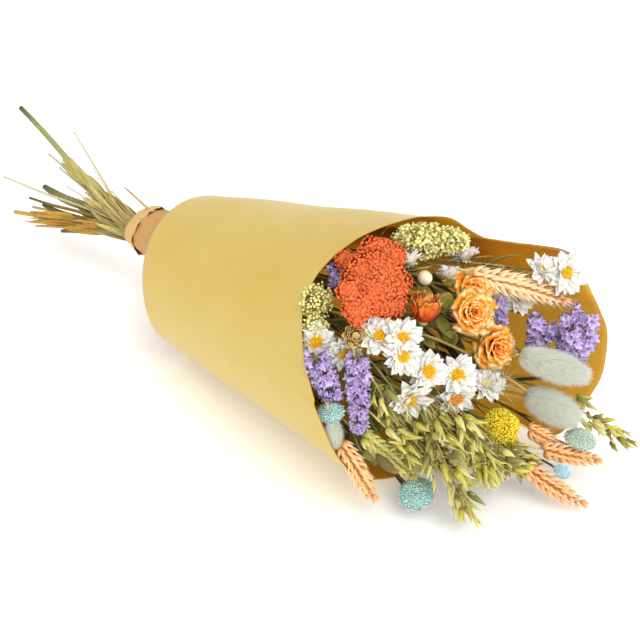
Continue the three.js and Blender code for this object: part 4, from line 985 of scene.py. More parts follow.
def wheat(b, at, d, R, L, rg, m=0, sm=1, n=20, awn=(.25, .7), face=None, flare=.5, tipawn=1.3, plump=.175, length=1.95):
    """Ear of wheat: spikelets in two ranks along a zigzag rachis, each a fan of scales."""
    at = np.asarray(at, float); d = unit(d)
    f = unit(np.asarray(face, float)) if face is not None else np.array([.66, -.59, .47])
    side = unit(np.cross(d, f))                # ranks lie left and right of the side that faces f
    nrm = np.cross(side, d)
    lem = [lemma(rg, rg.uniform(*awn), plump * rg.uniform(.9, 1.1)) for _ in range(6)]
    tl = [lemma(rg, tipawn * rg.uniform(.8, 1.2), plump) for _ in range(3)]
    step = L * .86 / n
    bendv = unit(side * rg.uniform(-1, 1) + nrm * rg.uniform(-1, 1)) * L * .02
    pos = lambda t: at + d * (L * .86 * t) + bendv * math.sin(math.pi * t)
    rach = np.array([pos(t) + side * (.45 if i % 2 else -.45) for i, t in enumerate(np.linspace(0, 1, n))])
    b.add(tube(np.vstack([at - d * 3, rach]), .62, 5), sm, .5)
    size0 = R * length
    for i in range(n):
        t = i / (n - 1)
        s = 1 if i % 2 else -1
        prof = .72 + .42 * math.sin(math.pi * min(1, t * .82 + .16)) - .25 * t ** 3
        sz = size0 * prof
        base = rach[i]
        fan = [(-.62, .95), (-.22, 1.06), (.22, 1.0), (.62, .92), (0, .88)]
        for q, (o, k) in enumerate(fan):
            out = side * s * (flare if q < 4 else flare * .3) + nrm * o * .75
            dr = unit(d + out * rg.uniform(.75, 1.3) * (1.1 - .3 * t) + rg.uniform(-.06, .06, 3))
            w = unit(side * s + nrm * o * 1.1)                # back of the scale
            v = unit(w - dr * (w @ dr)); u = np.cross(v, dr)
            M = np.stack([u, v, dr], 1) * sz * k * rg.uniform(.93, 1.07)
            src = tl if t > .86 else lem
            b.add(src[rg.randint(len(src))].moved(M, base + side * s * .5), m, np.clip(rg.normal(.5, .2), 0, 1))
        # the middle scales, which lie over the rachis on its two broad faces
        for sg in (1, -1):
            dr = unit(d + nrm * sg * .30 * rg.uniform(.8, 1.2) + side * s * .15 + rg.uniform(-.05, .05, 3))
            w = unit(nrm * sg + side * s * .25)
            v = unit(w - dr * (w @ dr)); u = np.cross(v, dr)
            M = np.stack([u, v, dr], 1) * sz * .94 * rg.uniform(.93, 1.07)
            src = tl if t > .86 else lem
            b.add(src[rg.randint(len(src))].moved(M, base + nrm * sg * .5 + side * s * .7), m, np.clip(rg.normal(.6, .2), 0, 1))
    top = rach[-1]
    for q in range(4):
        o = [(.3, 0), (-.3, 0), (0, .3), (0, -.3)][q]
        dr = unit(d + side * o[0] + nrm * o[1])
        M = basis_z(dr)[0] * size0 * .85
        b.add(tl[q % 3].moved(M, top), m, rg.uniform(.4, .8))


def oat_tpls(rg):
    """Ribbed papery glumes."""
    return [petal(rg.uniform(.28, .42), 6, 9, 'glume', .8, rg.uniform(-.04, .08), rg.uniform(-.2, .3), 0, .012, 2, i, .012, rg.uniform(-.4, .4)) for i in range(7)]


def spikelet(b, base, dr, nrm, L, rg, tp, gm=0, am=1, gape=.16):
    """Oat spikelet: two long papery glumes, a floret or two between them, sometimes a bent awn."""
    dr = unit(dr); nrm = unit(nrm - dr * (nrm @ dr)); sd = np.cross(dr, nrm)
    tn = float(np.clip(rg.normal(.5, .27), 0, 1))
    gms = gm if isinstance(gm, (list, tuple)) else [gm]
    gm = gms[rg.randint(len(gms))]
    for s, k in ((1, 1.0), (-1, .90), (.35, .78))[:2 + rg.randint(2)]:
        al = unit(dr + nrm * s * gape)
        n = unit(nrm * -s)
        M = basis_y(al, n)[0] * L * k
        b.add(tp[rg.randint(len(tp))].moved(M, base + nrm * s * .25), gm, np.clip(tn + rg.uniform(-.15, .15), 0, 1))
    t = lathe([(0, 0), (.1, .05), (.35, .09), (.6, .065), (.85, .02), (.95, 0)], 6)
    b.add(t.moved(basis_z(unit(dr + sd * rg.uniform(-.1, .1)))[0] * L * .8, base), gms[0], np.clip(tn + .3, 0, 1))
    if rg.rand() < .45:
        k = base + dr * L * .55
        a1 = k + unit(dr + sd * rg.uniform(-.5, .5) + nrm * rg.uniform(-.4, .4)) * L * .35
        a2 = a1 + unit(dr + sd * rg.uniform(-.8, .8) + nrm * rg.uniform(-.6, .6)) * L * .45
        b.add(tube(np.array([k, (k + a1) / 2, a1, (a1 + a2) / 2, a2]), [.16, .15, .14, .1, .05], 4), am, .4)


def oats(b, at, d, R, L, rg, n, gm=0, sm=1, size=17., spreadk=1.0, droop=.3, out=.4, lean=None, clear=None):
    """Oat head: a slender stalk with short branches that carry many drooping spikelets."""
    at = np.asarray(at, float); d = unit(d)
    F = basis_z(d)[0]
    tp = oat_tpls(rg)
    tipL = L - size * .75
    lean = np.zeros(3) if lean is None else np.asarray(lean, float)
    axis = bezier(at - d * 6, at + d * tipL * .3, at + d * tipL * .7 + lean * .4, at + d * tipL + lean, 14)
    b.add(tube(axis, np.linspace(.8, .3, 14), 5), sm, .5)
    down = np.array([0, 0, -1.0])
    for i in range(n):
        f = min(1, (i + rg.uniform(0, .9)) / n)
        x = f * 13; k = min(12, int(x))
        c = axis[k] + (axis[k + 1] - axis[k]) * (x - k)
        a = i * GOLD + rg.uniform(-.5, .5)
        o = F[:, 0] * math.cos(a) + F[:, 1] * math.sin(a)
        sz = size * rg.uniform(.78, 1.12) * (1 - .12 * f)
        dr = unit(d + o * out * rg.uniform(.2, 1.6) * (1.1 - .5 * f) + down * droop * rg.uniform(0, 1) + rg.uniform(-.16, .16, 3))
        br = rg.uniform(.1, 1.0) * R * spreadk * (1 - .45 * f)
        p = c + o * br + d * rg.uniform(0, 4)
        if clear is not None and clear(p + dr * sz * .5):
            continue
        b.add(tube(bezier(c, c + (d + o * .4) * br * .6, p - dr * 1.5, p, 5), [.42, .36, .3, .26, .24], 4), sm, rg.uniform(.2, .8))
        nr = unit(np.cross(dr, rg.normal(size=3)))
        spikelet(b, p, dr, nr, sz, rg, tp, gm, sm, rg.uniform(.08, .34))


def harestail(b, at, d, R, L, rg, n, hm=(0, 1, 2), cm=3, sm=4, r0=.12, hl=7.5):
    """Soft grass head: a dense core of tiny scales under a coat of fine curved hairs."""
    at = np.asarray(at, float); d = unit(d)
    F = basis_z(d)[0]
    f = (np.arange(n) + .5) / n
    prof = lambda t: np.clip(np.sin(math.pi * (.04 + .92 * np.clip(t, 0, 1)) ** .86), 0, 1) ** .5
    rc = R * .62
    core = lathe([(0, 0)] + [(x, max(.02, prof(x))) for x in np.linspace(.03, .97, 11)] + [(1, 0)], 14)
    b.add(core.moved(F @ np.diag([rc, rc, L * .90]), at), cm, .5)
    u = f ** .92
    a = np.arange(n) * GOLD + rg.uniform(-.3, .3, n)
    out = F[:, 0][None] * np.cos(a)[:, None] + F[:, 1][None] * np.sin(a)[:, None]
    root = at + d * (L * .90 * u)[:, None] + out * (rc * prof(u) * .9)[:, None]
    dr = unit(out * (1.25 - .5 * u)[:, None] + d * (.70 + .8 * u)[:, None] + rg.uniform(-.34, .34, (n, 3)))
    bend = (d[None] * .35 - out * .06 + rg.uniform(-.2, .2, (n, 3)))
    ln = hl * rg.uniform(.75, 1.15, n) * (.72 + .35 * np.sin(math.pi * u))
    which = rg.choice(len(hm), n, p=[.5, .3, .2])
    for i, mm in enumerate(hm):
        s = which == i
        t, m = hairs(root[s], dr[s], bend[s] , ln[s], r0)
        A = np.repeat(rg.uniform(.2, .8, s.sum()), m)
        b.add(t, mm, A)
    # a few longer straight bristles
    s = rg.choice(n, max(12, n // 90), replace=False)
    t, m = hairs(root[s], unit(dr[s] + d * .5), bend[s] * .2, ln[s] * 1.35, r0 * .8)
    b.add(t, sm, .6)


def globe(b, at, d, R, rg, n=760, m=0, gm=1, lump=None):
    """Round head packed with small tube florets."""
    at = np.asarray(at, float)
    F = basis_z(d)[0]
    dd, th, ph = cap_points(n, math.radians(158))
    tubes = []
    for q in range(4):
        prof = [(-.9, 0), (-.8, .40), (.1, .46), (.5, .60), (.78, .50), (.62, .2), (.45, 0)]
        t = lathe(prof, 10, 1, 1, 5, .26)
        t.grad = np.clip((t.V[:, 2] + .6) / 1.2, 0, 1)
        tubes.append(t)
    bumps = 1 + .035 * np.sin(7 * dd[:, 0] + 3) * np.sin(6 * dd[:, 1] + 1) + .03 * np.sin(9 * dd[:, 2] + 5 * dd[:, 0])
    P = dd * (R * .90 * bumps)[:, None]
    sz = math.sqrt(4 * math.pi * R * R * .96 / n) * .72
    P = P + rg.normal(0, R * .022, (n, 3))
    M = scale3(basis_z(unit(dd + rg.uniform(-.2, .2, (n, 3))) @ F.T, rg.uniform(0, 6, n)), np.stack([sz * rg.uniform(.8, 1.05, n)] * 2 + [sz * rg.uniform(1.0, 2.1, n)], 1))
    wh = rg.randint(0, 4, n)
    for q in range(4):
        s = wh == q
        b.inst(tubes[q], M[s], at + P[s] @ F.T, m, rg.uniform(0, 1, s.sum()))
    b.add(lathe([(-1, 0), (-.7, .72), (-.3, .95), (.2, .98), (.7, .72), (1, 0)], 18).moved(F * R * .86, at), m, 0.)
    sc = [petal(.42, 3, 4, 'leaf', .3, .1, .5, .1, 0, 2, 0, .05)]
    ring(b, F, at, sc, 13, R * .25, -R * .92, R * .42, -.1, rg, gm, .2, .3)


def button(b, at, d, R, h, rg, n=620, m=0, gm=1, lobe=0.):
    """Flat-topped head of hundreds of fine upright scales over a pale leafy cup."""
    at = np.asarray(at, float)
    F = basis_z(d, np.array([rg.uniform(0, 6)]))[0]
    T = R * h
    k = np.arange(n) + .5
    rho = R * .97 * np.sqrt(k / n)
    ph = k * GOLD
    dent = 1 - lobe * np.clip(np.cos(3 * ph), 0, 1) * (rho / R) ** 2
    ph = ph + rg.uniform(-.03, .03, n) * 2
    rho = rho * (1 + .045 * np.sin(7 * ph) * (rho / R)) + rg.uniform(-.2, .2, n)
    z = T * .95 * (1 - (rho / R) ** 2.2) * dent + T * .05 + rg.uniform(-.3, .4, n) * T * .09
    P = np.stack([rho * np.cos(ph), rho * np.sin(ph), z], 1)
    D = unit(np.stack([P[:, 0] / R * 1.15 * (rho / R) ** 1.2, P[:, 1] / R * 1.15 * (rho / R) ** 1.2, np.ones(n) * .9], 1) + rg.uniform(-.14, .14, (n, 3)))
    br = lathe([(-1.2, 0), (-1.0, .30), (0, .40), (.4, .46), (.62, .30), (.52, .1), (.46, 0)], 6)
    br.grad = np.clip((br.V[:, 2] + .9) / 1.5, 0, 1)
    sz = math.sqrt(math.pi * R * R / n) * 1.05
    M = scale3(basis_z(D @ F.T, rg.uniform(0, 6, n)), np.stack([sz * rg.uniform(.8, 1.2, n), sz * rg.uniform(.8, 1.2, n), sz * rg.uniform(.8, 2.0, n)], 1))
    b.inst(br, M, at + P @ F.T, m, rg.uniform(0, 1, n))
    b.add(lathe([(-.55, 0), (-.5, .3), (-.2, .72), (.02, .93), (.35, .86), (.7, .5), (.82, 0)], 20).moved(F @ np.diag([R, R, T]), at), m, 0.)
    sc = [petal(.26, 3, 5, 'leaf', .4, .1, .4, .1, 0, 2, q, .05) for q in range(2)]
    for q, (rr, zz, e, ll) in enumerate([(.28, -.62, .45, .62), (.2, -.8, .75, .6)]):
        ring(b, F, at, sc, 16, rr * R, zz * T, ll * R, e * .6, rg, gm, .15, .2, q * .5, (.3, .8))
    b.add(lathe([(-1, 0), (-.95, .16), (-.6, .3), (-.2, .62), (.1, .5), (.1, 0)], 12).moved(F @ np.diag([R, R, T * .9]), at), gm, .5)


def strawflower(b, at, d, R, rg, m=0, gm=1):
    at = np.asarray(at, float)
    F = basis_z(d)[0]
    tp = [petal(.46, 4, 6, 'lance', .45, .1, rg.uniform(.3, .9), .1, .03, 2, q, .04) for q in range(4)]
    for i in range(7):
        f = i / 6
        ring(b, F, at, tp, 13 - i, R * (.34 - .24 * f), R * (-.55 + .28 * f), R * (1.05 - .25 * f), .62 + .72 * f, rg, m, .1, .1, i * .4, (.2 + .5 * f, .5 + .5 * f))
    b.add(lathe([(-.85, 0), (-.8, .18), (-.55, .42), (-.3, .4), (-.2, 0)], 12).moved(F * R, at), gm, .4)


def bracted_bud(b, at, d, R, h, rg, m=0, gm=1, rows=6):
    at = np.asarray(at, float)
    F = basis_z(d)[0]
    H = R * h
    b.add(lathe([(-1, 0), (-.8, .6), (-.2, .95), (.4, .82), (.85, .4), (1, 0)], 14).moved(F @ np.diag([R * .9, R * .9, H]), at), m, .3)
    tp = [petal(.62, 4, 5, 'obov', .5, .35, .75, .1, .02, 2, q, .04) for q in range(3)]
    for i in range(rows):
        f = i / (rows - 1)
        zz = -.85 + 1.2 * f
        rr = math.sqrt(max(0, 1 - zz * zz)) * .82
        ring(b, F, at, tp, 8 - i // 2, R * rr * .9, H * zz, R * .72, 1.0 + .65 * f, rg, m, .08, .08, i * .5, (.3, .8))


def bud_cluster(b, at, R, h, d, rg, n, stalk_from, m=0, gm=1, bead=1.25, flakes=.0):
    """Cloud of small round buds on hair-fine stalks."""
    at = np.asarray(at, float)
    F = basis_z(d)[0]
    dd, _, _ = cap_points(n, math.radians(172))
    rr = rg.uniform(.45, 1.08, n) ** .6
    P = dd * rr[:, None] * [R, R, R * h]
    P += rg.normal(0, .5, (n, 3))
    W = at + P @ F.T
    s0 = np.asarray(stalk_from, float)
    nb = max(4, n // 18)
    hub, _, _ = cap_points(nb, math.radians(170))
    H = at + (hub * [R * .55, R * .55, R * h * .5]) @ F.T
    for p in H:
        b.add(tube(bezier(s0, s0 + (at - s0) * .5, p - (at - s0) * .12, p, 5), [.5, .45, .4, .34, .3], 4), gm, rg.uniform(.2, .8))
    idx = np.argmin(np.linalg.norm(W[:, None] - H[None], axis=2), 1)
    for w, i in zip(W, idx):
        b.add(tube(np.array([H[i], (H[i] + w) / 2 + rg.normal(0, .35, 3), w]), [.26, .22, .2], 3), gm, rg.uniform(.2, .8))
    bud = lathe([(-.9, 0), (-.75, .45), (-.2, .98), (.35, .86), (.75, .42), (.95, .12), (1.05, 0)], 8, 1, 1, 4, .07)
    out = unit(W - H[idx])
    sz = bead * rg.uniform(.72, 1.2, n)
    M = scale3(basis_z(unit(out + rg.uniform(-.3, .3, (n, 3))), rg.uniform(0, 6, n)), sz)
    fl = rg.rand(n) < flakes
    b.inst(bud, M[~fl], W[~fl], m, rg.uniform(0, 1, (~fl).sum()))
    if fl.any():
        f3 = join([petal(.75, 3, 4, 'obov', .6, .5, .9, 0, .03, 2, q, .05).moved(basis_y([math.cos(q * 2.1), math.sin(q * 2.1), .55], [-math.cos(q * 2.1) * .5, -math.sin(q * 2.1) * .5, 1])[0]) for q in range(4)])
        b.inst(f3, M[fl] * 1.5, W[fl], m, rg.uniform(.4, 1, fl.sum()))


# ------------------------------------------------------------------ colours
plant('coral', [(0, (120, 32, 14)), (.35, (198, 72, 32)), (.7, (222, 96, 48)), (1, (234, 122, 70))], shift=((236, 132, 66), [(.7, 0), (1, .55)]), tone=(.86, 1.06), scale=900, rough=.75, spec=.2, bumps=(1400, .4, .0003))
plant('coral_stalk', [(0, (120, 104, 52)), (1, (168, 120, 66))], scale=600, rough=.7)
plant('bud', [(0, (198, 186, 84)), (.5, (236, 226, 136)), (1, (254, 248, 186))], tone=(.88, 1.06), amt=.08, scale=900, rough=.6, sss=.1)
plant('bud_stalk', [(0, (176, 168, 92)), (1, (212, 204, 134))], scale=600)
plant('daisy_white', [(0, (232, 216, 164)), (.18, (243, 236, 216)), (.6, (248, 244, 234)), (1, (251, 248, 240))], rim=((240, 234, 218), [(.88, 0), (1, .5)]), tone=(.89, .99), amt=.04, scale=420, rough=.5, spec=.3, bumps=(1500, .3, .0003), sss=.35, veins=(16, .04))
# the disc florets turn orange toward their bases: painted shade round and between the florets
plant('daisy_disc', [(0, (186, 100, 4)), (.4, (236, 160, 8)), (1, (252, 204, 34))], tone=(.84, 1.06), scale=900, rough=.75)
plant('disc_brown', [(0, (126, 56, 16)), (.5, (200, 110, 36)), (1, (240, 170, 76))], tone=(.8, 1.15), scale=900, rough=.75)
plant('disc_green', [(0, (150, 158, 84)), (.5, (206, 208, 148)), (1, (232, 230, 186))], tone=(.9, 1.08), scale=900, rough=.7)
plant('bract', [(0, (112, 118, 62)), (.6, (158, 160, 104)), (1, (204, 198, 160))], tone=(.8, 1.15), scale=500)
plant('stalk_green', [(0, (124, 122, 62)), (.5, (156, 150, 82)), (1, (184, 172, 104))], tone=(.8, 1.12), scale=300, bumps=(600, .3, .0003))
plant('stalk_straw', [(0, (176, 148, 84)), (1, (214, 190, 122))], tone=(.85, 1.12), scale=300, bumps=(600, .3, .0003))
plant('stalk_brown', [(0, (84, 62, 34)), (1, (128, 96, 56))], tone=(.8, 1.15), scale=300, bumps=(600, .3, .0003))
plant('leaf_green', [(0, (112, 116, 58)), (.6, (148, 150, 82)), (1, (182, 176, 112))], rim=((186, 176, 116), [(.8, 0), (1, .6)]), tone=(.78, 1.14), scale=260, amt=.18, veins=(9, .12), bumps=(700, .5, .0004))
plant('leaf_straw', [(0, (176, 156, 88)), (.6, (206, 188, 118)), (1, (222, 204, 142))], rim=((226, 208, 150), [(.8, 0), (1, .5)]), tone=(.8, 1.12), scale=260, amt=.14, veins=(12, .12), bumps=(700, .4, .0004))
# the dark leaf colour is partly the dried leaves' own and partly painted shade for the leaves deep in the bunch
plant('leaf_dark', [(0, (78, 70, 34)), (.6, (106, 94, 48)), (1, (138, 118, 66))], tone=(.75, 1.2), scale=260, amt=.22, veins=(9, .15), bumps=(700, .5, .0004))
plant('leaf_brown', [(0, (84, 52, 32)), (.6, (112, 74, 44)), (1, (146, 104, 66))], tone=(.78, 1.18), scale=260, amt=.22, bumps=(700, .6, .0004))
# the rose petals deepen to red toward the base: partly the petals' own colour and partly painted shade in the recesses
# between the petals
plant('rose', [(0, (206, 40, 2)), (.42, (232, 74, 6)), (.66, (252, 118, 16)), (.86, (255, 152, 36)), (1, (255, 178, 64))], rim=((255, 236, 172), [(.80, 0), (.93, .55), (1, .95)]), spots=((226, 70, 10), 260, [(.58, 0), (.70, .7)]), shift=((250, 128, 26), [(.60, 0), (1, .6)]), tone=(.97, 1.05), amt=.04, scale=500, rough=.55, spec=.12, bumps=(620, .5, .0005), sss=.3)
plant('rose_deep', [(0, (150, 30, 8)), (.35, (206, 74, 16)), (.6, (226, 110, 26)), (1, (246, 160, 52))], rim=((250, 206, 130), [(.70, 0), (.9, .6), (1, 1)]), spots=((170, 44, 16), 200, [(.44, 0), (.60, .8)]), shift=((236, 150, 60), [(.4, 0), (1, .7)]), tone=(.84, 1.06), amt=.1, scale=500, rough=.55, spec=.2, veins=(26, .22), bumps=(520, .7, .0006), sss=.2)
plant('rose_leaf', [(0, (134, 132, 48)), (.6, (162, 158, 66)), (1, (184, 176, 92))], rim=((192, 180, 104), [(.84, 0), (1, .6)]), tone=(.84, 1.12), scale=300, amt=.14, veins=(14, .12), bumps=(600, .5, .0004))
plant('statice', [(0, (134, 110, 168)), (.35, (174, 146, 210)), (.75, (202, 176, 230)), (1, (222, 203, 243))], rim=((230, 217, 247), [(.8, 0), (1, .7)]), tone=(.84, 1.1), amt=.08, scale=700, rough=.6, sss=.12, bumps=(900, .4, .0003))
plant('statice_green', [(0, (112, 118, 72)), (1, (150, 152, 104))], tone=(.8, 1.15), scale=300)
plant('statice_white', [(0, (236, 230, 244)), (1, (250, 246, 252))], tone=(.94, 1.05), amt=.04)
# the wheat scales darken toward their bases: painted shade between the packed scales
plant('peach', [(0, (230, 140, 86)), (.28, (254, 200, 146)), (.7, (255, 226, 184)), (1, (255, 241, 214))], tone=(.92, 1.04), amt=.06, scale=500, rough=.5, spec=.35, sss=.36, bumps=(900, .3, .0003))
plant('peach_orange', [(0, (212, 116, 56)), (.3, (246, 172, 108)), (.7, (254, 208, 152)), (1, (255, 232, 190))], tone=(.86, 1.06), amt=.08, scale=500, rough=.5, spec=.3, sss=.25, bumps=(900, .3, .0003))
plant('wheat_green', [(0, (140, 134, 58)), (.4, (184, 178, 92)), (.8, (216, 208, 130)), (1, (236, 228, 166))], tone=(.78, 1.12), amt=.1, scale=500, bumps=(900, .3, .0003))
plant('mint_a', [(0, (222, 228, 204)), (.4, (242, 246, 226)), (1, (252, 254, 244))], tone=(.97, 1.03), amt=.02, rough=.6, sheen=.35)
plant('mint_b', [(0, (210, 220, 192)), (.4, (230, 238, 214)), (1, (244, 250, 232))], tone=(.95, 1.03), amt=.02, rough=.6, sheen=.35)
plant('mint_c', [(0, (218, 214, 190)), (.4, (240, 238, 220)), (1, (252, 251, 244))], tone=(.96, 1.03), amt=.02, rough=.6, sheen=.35)
plant('mint_core', [(0, (222, 226, 206)), (1, (234, 238, 220))], tone=(.94, 1.04), amt=.06, scale=900, sheen=.3)
plant('oat', [(0, (160, 146, 40)), (.4, (204, 190, 74)), (.8, (230, 217, 106)), (1, (246, 234, 140))], rim=((240, 230, 154), [(.78, 0), (1, .65)]), tone=(.74, 1.08), amt=.08, scale=500, rough=.5, spec=.25, veins=(42, .18), bumps=(900, .3, .0003), sss=.15)
plant('oat_pale', [(0, (190, 174, 82)), (.4, (222, 210, 124)), (.8, (238, 228, 152)), (1, (250, 242, 186))], rim=((250, 244, 196), [(.74, 0), (1, .65)]), tone=(.82, 1.06), amt=.06, scale=500, rough=.5, spec=.25, veins=(42, .14), bumps=(900, .3, .0003), sss=.15)
plant('oat_green', [(0, (98, 98, 38)), (.4, (134, 132, 58)), (.8, (166, 160, 84)), (1, (194, 184, 110))], rim=((204, 194, 122), [(.78, 0), (1, .65)]), tone=(.68, 1.12), amt=.1, scale=500, rough=.5, spec=.3, veins=(42, .18), bumps=(900, .3, .0003))
plant('oat_stalk', [(0, (152, 142, 74)), (1, (200, 186, 116))], tone=(.85, 1.12), scale=300)
# the globe florets darken toward their bases: painted shade between the florets
plant('yellow', [(0, (190, 134, 0)), (.4, (236, 190, 8)), (.75, (252, 216, 30)), (1, (255, 234, 74))], tone=(.84, 1.06), amt=.06, scale=700, rough=.7, sss=.1)
# the turquoise scales darken toward their bases and pale toward their tips: painted shade between the scales and
# painted highlight on the tips
plant('turquoise', [(0, (70, 124, 120)), (.4, (130, 184, 178)), (.75, (168, 212, 204)), (1, (204, 234, 226))], tone=(.78, 1.10), amt=.1, scale=900, rough=.75)
plant('turquoise_grey', [(0, (126, 156, 136)), (.4, (168, 196, 176)), (.75, (192, 214, 196)), (1, (218, 232, 216))], tone=(.86, 1.08), amt=.08, scale=900, rough=.7)
plant('turquoise_blue', [(0, (100, 158, 178)), (.4, (150, 204, 218)), (.75, (182, 224, 234)), (1, (216, 240, 244))], tone=(.86, 1.1), amt=.08, scale=900, rough=.7)
plant('cup_grey', [(0, (140, 134, 112)), (.6, (168, 162, 152)), (1, (192, 186, 184))], tone=(.85, 1.12), amt=.1, scale=500)
plant('cream', [(0, (206, 178, 112)), (.5, (240, 224, 176)), (1, (250, 240, 208))], tone=(.9, 1.06), amt=.05, scale=500, rough=.55, sss=.05)
plant('tan', [(0, (176, 122, 44)), (.5, (222, 180, 92)), (1, (246, 226, 164))], tone=(.88, 1.1), amt=.08, scale=500, rough=.55, sss=.1)
plant('sheath', [(0, (178, 170, 92)), (.5, (200, 192, 114)), (1, (190, 182, 106))], rim=((180, 160, 94), [(.8, 0), (1, .7)]), tone=(.84, 1.08), amt=.12, scale=160, veins=(40, .16), bumps=(500, .4, .0004))
plant('green_thick', [(0, (178, 174, 108)), (.5, (166, 166, 104)), (.84, (150, 148, 96)), (.95, (112, 106, 70)), (1, (96, 88, 58))], tone=(.9, 1.08), amt=.12, scale=240, bumps=(500, .5, .0005))
plant('olive_fat', [(0, (158, 150, 72)), (.5, (164, 160, 86)), (.85, (134, 128, 62)), (1, (96, 86, 42))], tone=(.84, 1.1), amt=.18, scale=200, veins=(26, .14), bumps=(400, .6, .0006))
plant('brown_olive', [(0, (170, 150, 76)), (.45, (158, 134, 64)), (.8, (134, 110, 54)), (1, (100, 82, 42))], tone=(.84, 1.12), amt=.16, scale=240, veins=(22, .12), bumps=(500, .6, .0006))
plant('orange_stem', [(0, (208, 168, 82)), (.5, (226, 186, 96)), (1, (208, 164, 78))], rim=((198, 142, 56), [(.80, 0), (1, .6)]), tone=(.80, 1.06), amt=.16, scale=240, veins=(14, .14), bumps=(500, .5, .0005))
plant('pale_stem', [(0, (190, 188, 134)), (1, (208, 208, 168))], tone=(.92, 1.05), amt=.1, scale=240, bumps=(600, .3, .0003))
plant('grey_stem', [(0, (184, 176, 134)), (.6, (172, 166, 128)), (1, (196, 190, 160))], tone=(.88, 1.1), amt=.12, scale=240)
plant('rootlet', [(0, (176, 140, 88)), (1, (204, 172, 118))], tone=(.85, 1.12), amt=.1, scale=300)
plant('cut_end', [(0, (206, 190, 132)), (1, (222, 206, 150))], amt=.2, scale=1600)
plant('twig_pink', [(0, (206, 170, 134)), (.7, (196, 158, 128)), (1, (150, 116, 92))], tone=(.9, 1.08), amt=.12, scale=300)

paper('paper_out', (209, 178, 83), (217, 190, 105), (195, 161, 68), .42, .03, .25, .16)
# the last number, 1.05, brightens the base colour of the inside's free corner: painted light
paper('paper_in', (172, 130, 40), (181, 142, 52), (151, 111, 33), .5, .035, .92, .0, .0031, 1.05)
paper('paper_edge', (172, 124, 62), (190, 144, 82), (140, 96, 44), .75, .06)
paper('collar_out', (202, 152, 92), (212, 167, 108), (178, 129, 72), .62, .05)
# this cuff paper is a lighter copy of the collar paper: painted light on the turned-back cuff
paper('collar_cuff_lit', (218, 180, 112), (226, 193, 128), (200, 158, 88), .5, .04)
paper('collar_in', (196, 146, 86), (208, 164, 104), (166, 118, 62), .7, .05)
plant('twine', [(0, (168, 128, 74)), (1, (196, 156, 98))], by='edge', tone=(.8, 1.15), amt=.2, scale=1400, rough=.85, bumps=(2500, .5, .0003))

ROW = {r['name']: r for r in ROWS}
TO_CAM = np.array([.657, -.59, .469])


# ------------------------------------------------------------------ paper
def sleeve():
    deg = np.unique(np.round(np.concatenate([np.arange(-180, 180, 1.5), np.arange(36.4, 39.6, .2), np.arange(-56, -52.4, .2), [37.8, 37.86]]), 3))
    n = len(deg)
    A = np.radians(deg)[None]
    x0, x1 = narrow_x(deg), rim_x(deg)
    u = np.linspace(0, 1, 78)[:, None]
    X = x0 + (x1 - x0) * u
    R = half_width(X); lift = FLATK * R * (1 - math.cos(math.radians(8)))
    up = np.clip((np.sin(A) + .75) / .6, 0, 1)
    rise = np.exp(-(x1 - X) / 15.0)
    dent = .55 * np.sin(X / 31 + 2.1 * np.sin(A * 2) + 1) * np.sin(A * 3 + X / 70) + .4 * np.sin(X / 17 + A * 4) * np.exp(-((A - 1.2) / .9) ** 2)
    rad = up * (dent - .75) * .9 + up * rise * 1.1 * np.sin(np.radians(deg * 5.3 + 40)) + up * rise * .8
    over = np.where((deg > 3) & (deg <= 37.81), np.clip((deg - 3) / 34.8, 0, 1) ** 1.6 * .95, 0)
    def wall(t, extra):
        r = R - t + rad + extra
        Y = r * np.cos(A)
        Z = FLATK * R + (FLATK * R - t + rad + extra) * np.sin(A) - lift
        return np.stack([X, Y, np.maximum(Z, t)], -1)
    O, I = wall(0, over[None]), wall(.5, 0)
    m = len(u)
    E = np.exp(-np.minimum((x1 - X), (X - x0)) / .8)
    i = np.arange(n); j = (i + 1) % n
    g = lambda q: q * n
    Qo = np.concatenate([np.stack([g(q) + i, g(q + 1) + i, g(q + 1) + j, g(q) + j], -1) for q in range(m - 1)])
    base = m * n
    Qi = np.concatenate([np.stack([base + g(q) + i, base + g(q) + j, base + g(q + 1) + j, base + g(q + 1) + i], -1) for q in range(m - 1)])
    Qr = np.concatenate([np.stack([g(m - 1) + i, base + g(m - 1) + i, base + g(m - 1) + j, g(m - 1) + j], -1), np.stack([i, j, base + j, base + i], -1)])
    V = np.vstack([O.reshape(-1, 3), I.reshape(-1, 3)])
    Q = np.vstack([Qo, Qi, Qr])
    qm = np.concatenate([np.zeros(len(Qo), int), np.ones(len(Qi), int), np.full(len(Qr), 2)])
    G = np.tile(np.broadcast_to(u, X.shape).reshape(-1), 2)
    b = Build()
    b.add(Tpl(V, Q, None, G, np.tile(E.reshape(-1), 2), qm), 0, .5)
    uu = np.broadcast_to((deg + 180)[None] / 360, X.shape)
    vv = (X + 125) / 350
    uv = np.concatenate([np.stack([uu, vv * .48], -1).reshape(-1, 2), np.stack([uu, .5 + vv * .48], -1).reshape(-1, 2)])
    return make('wrapper_sleeve', b, ['paper_out', 'paper_in', 'paper_edge'], 'wrapper_sleeve', hold=False, flat=(2,), uv=uv * .98 + .01)


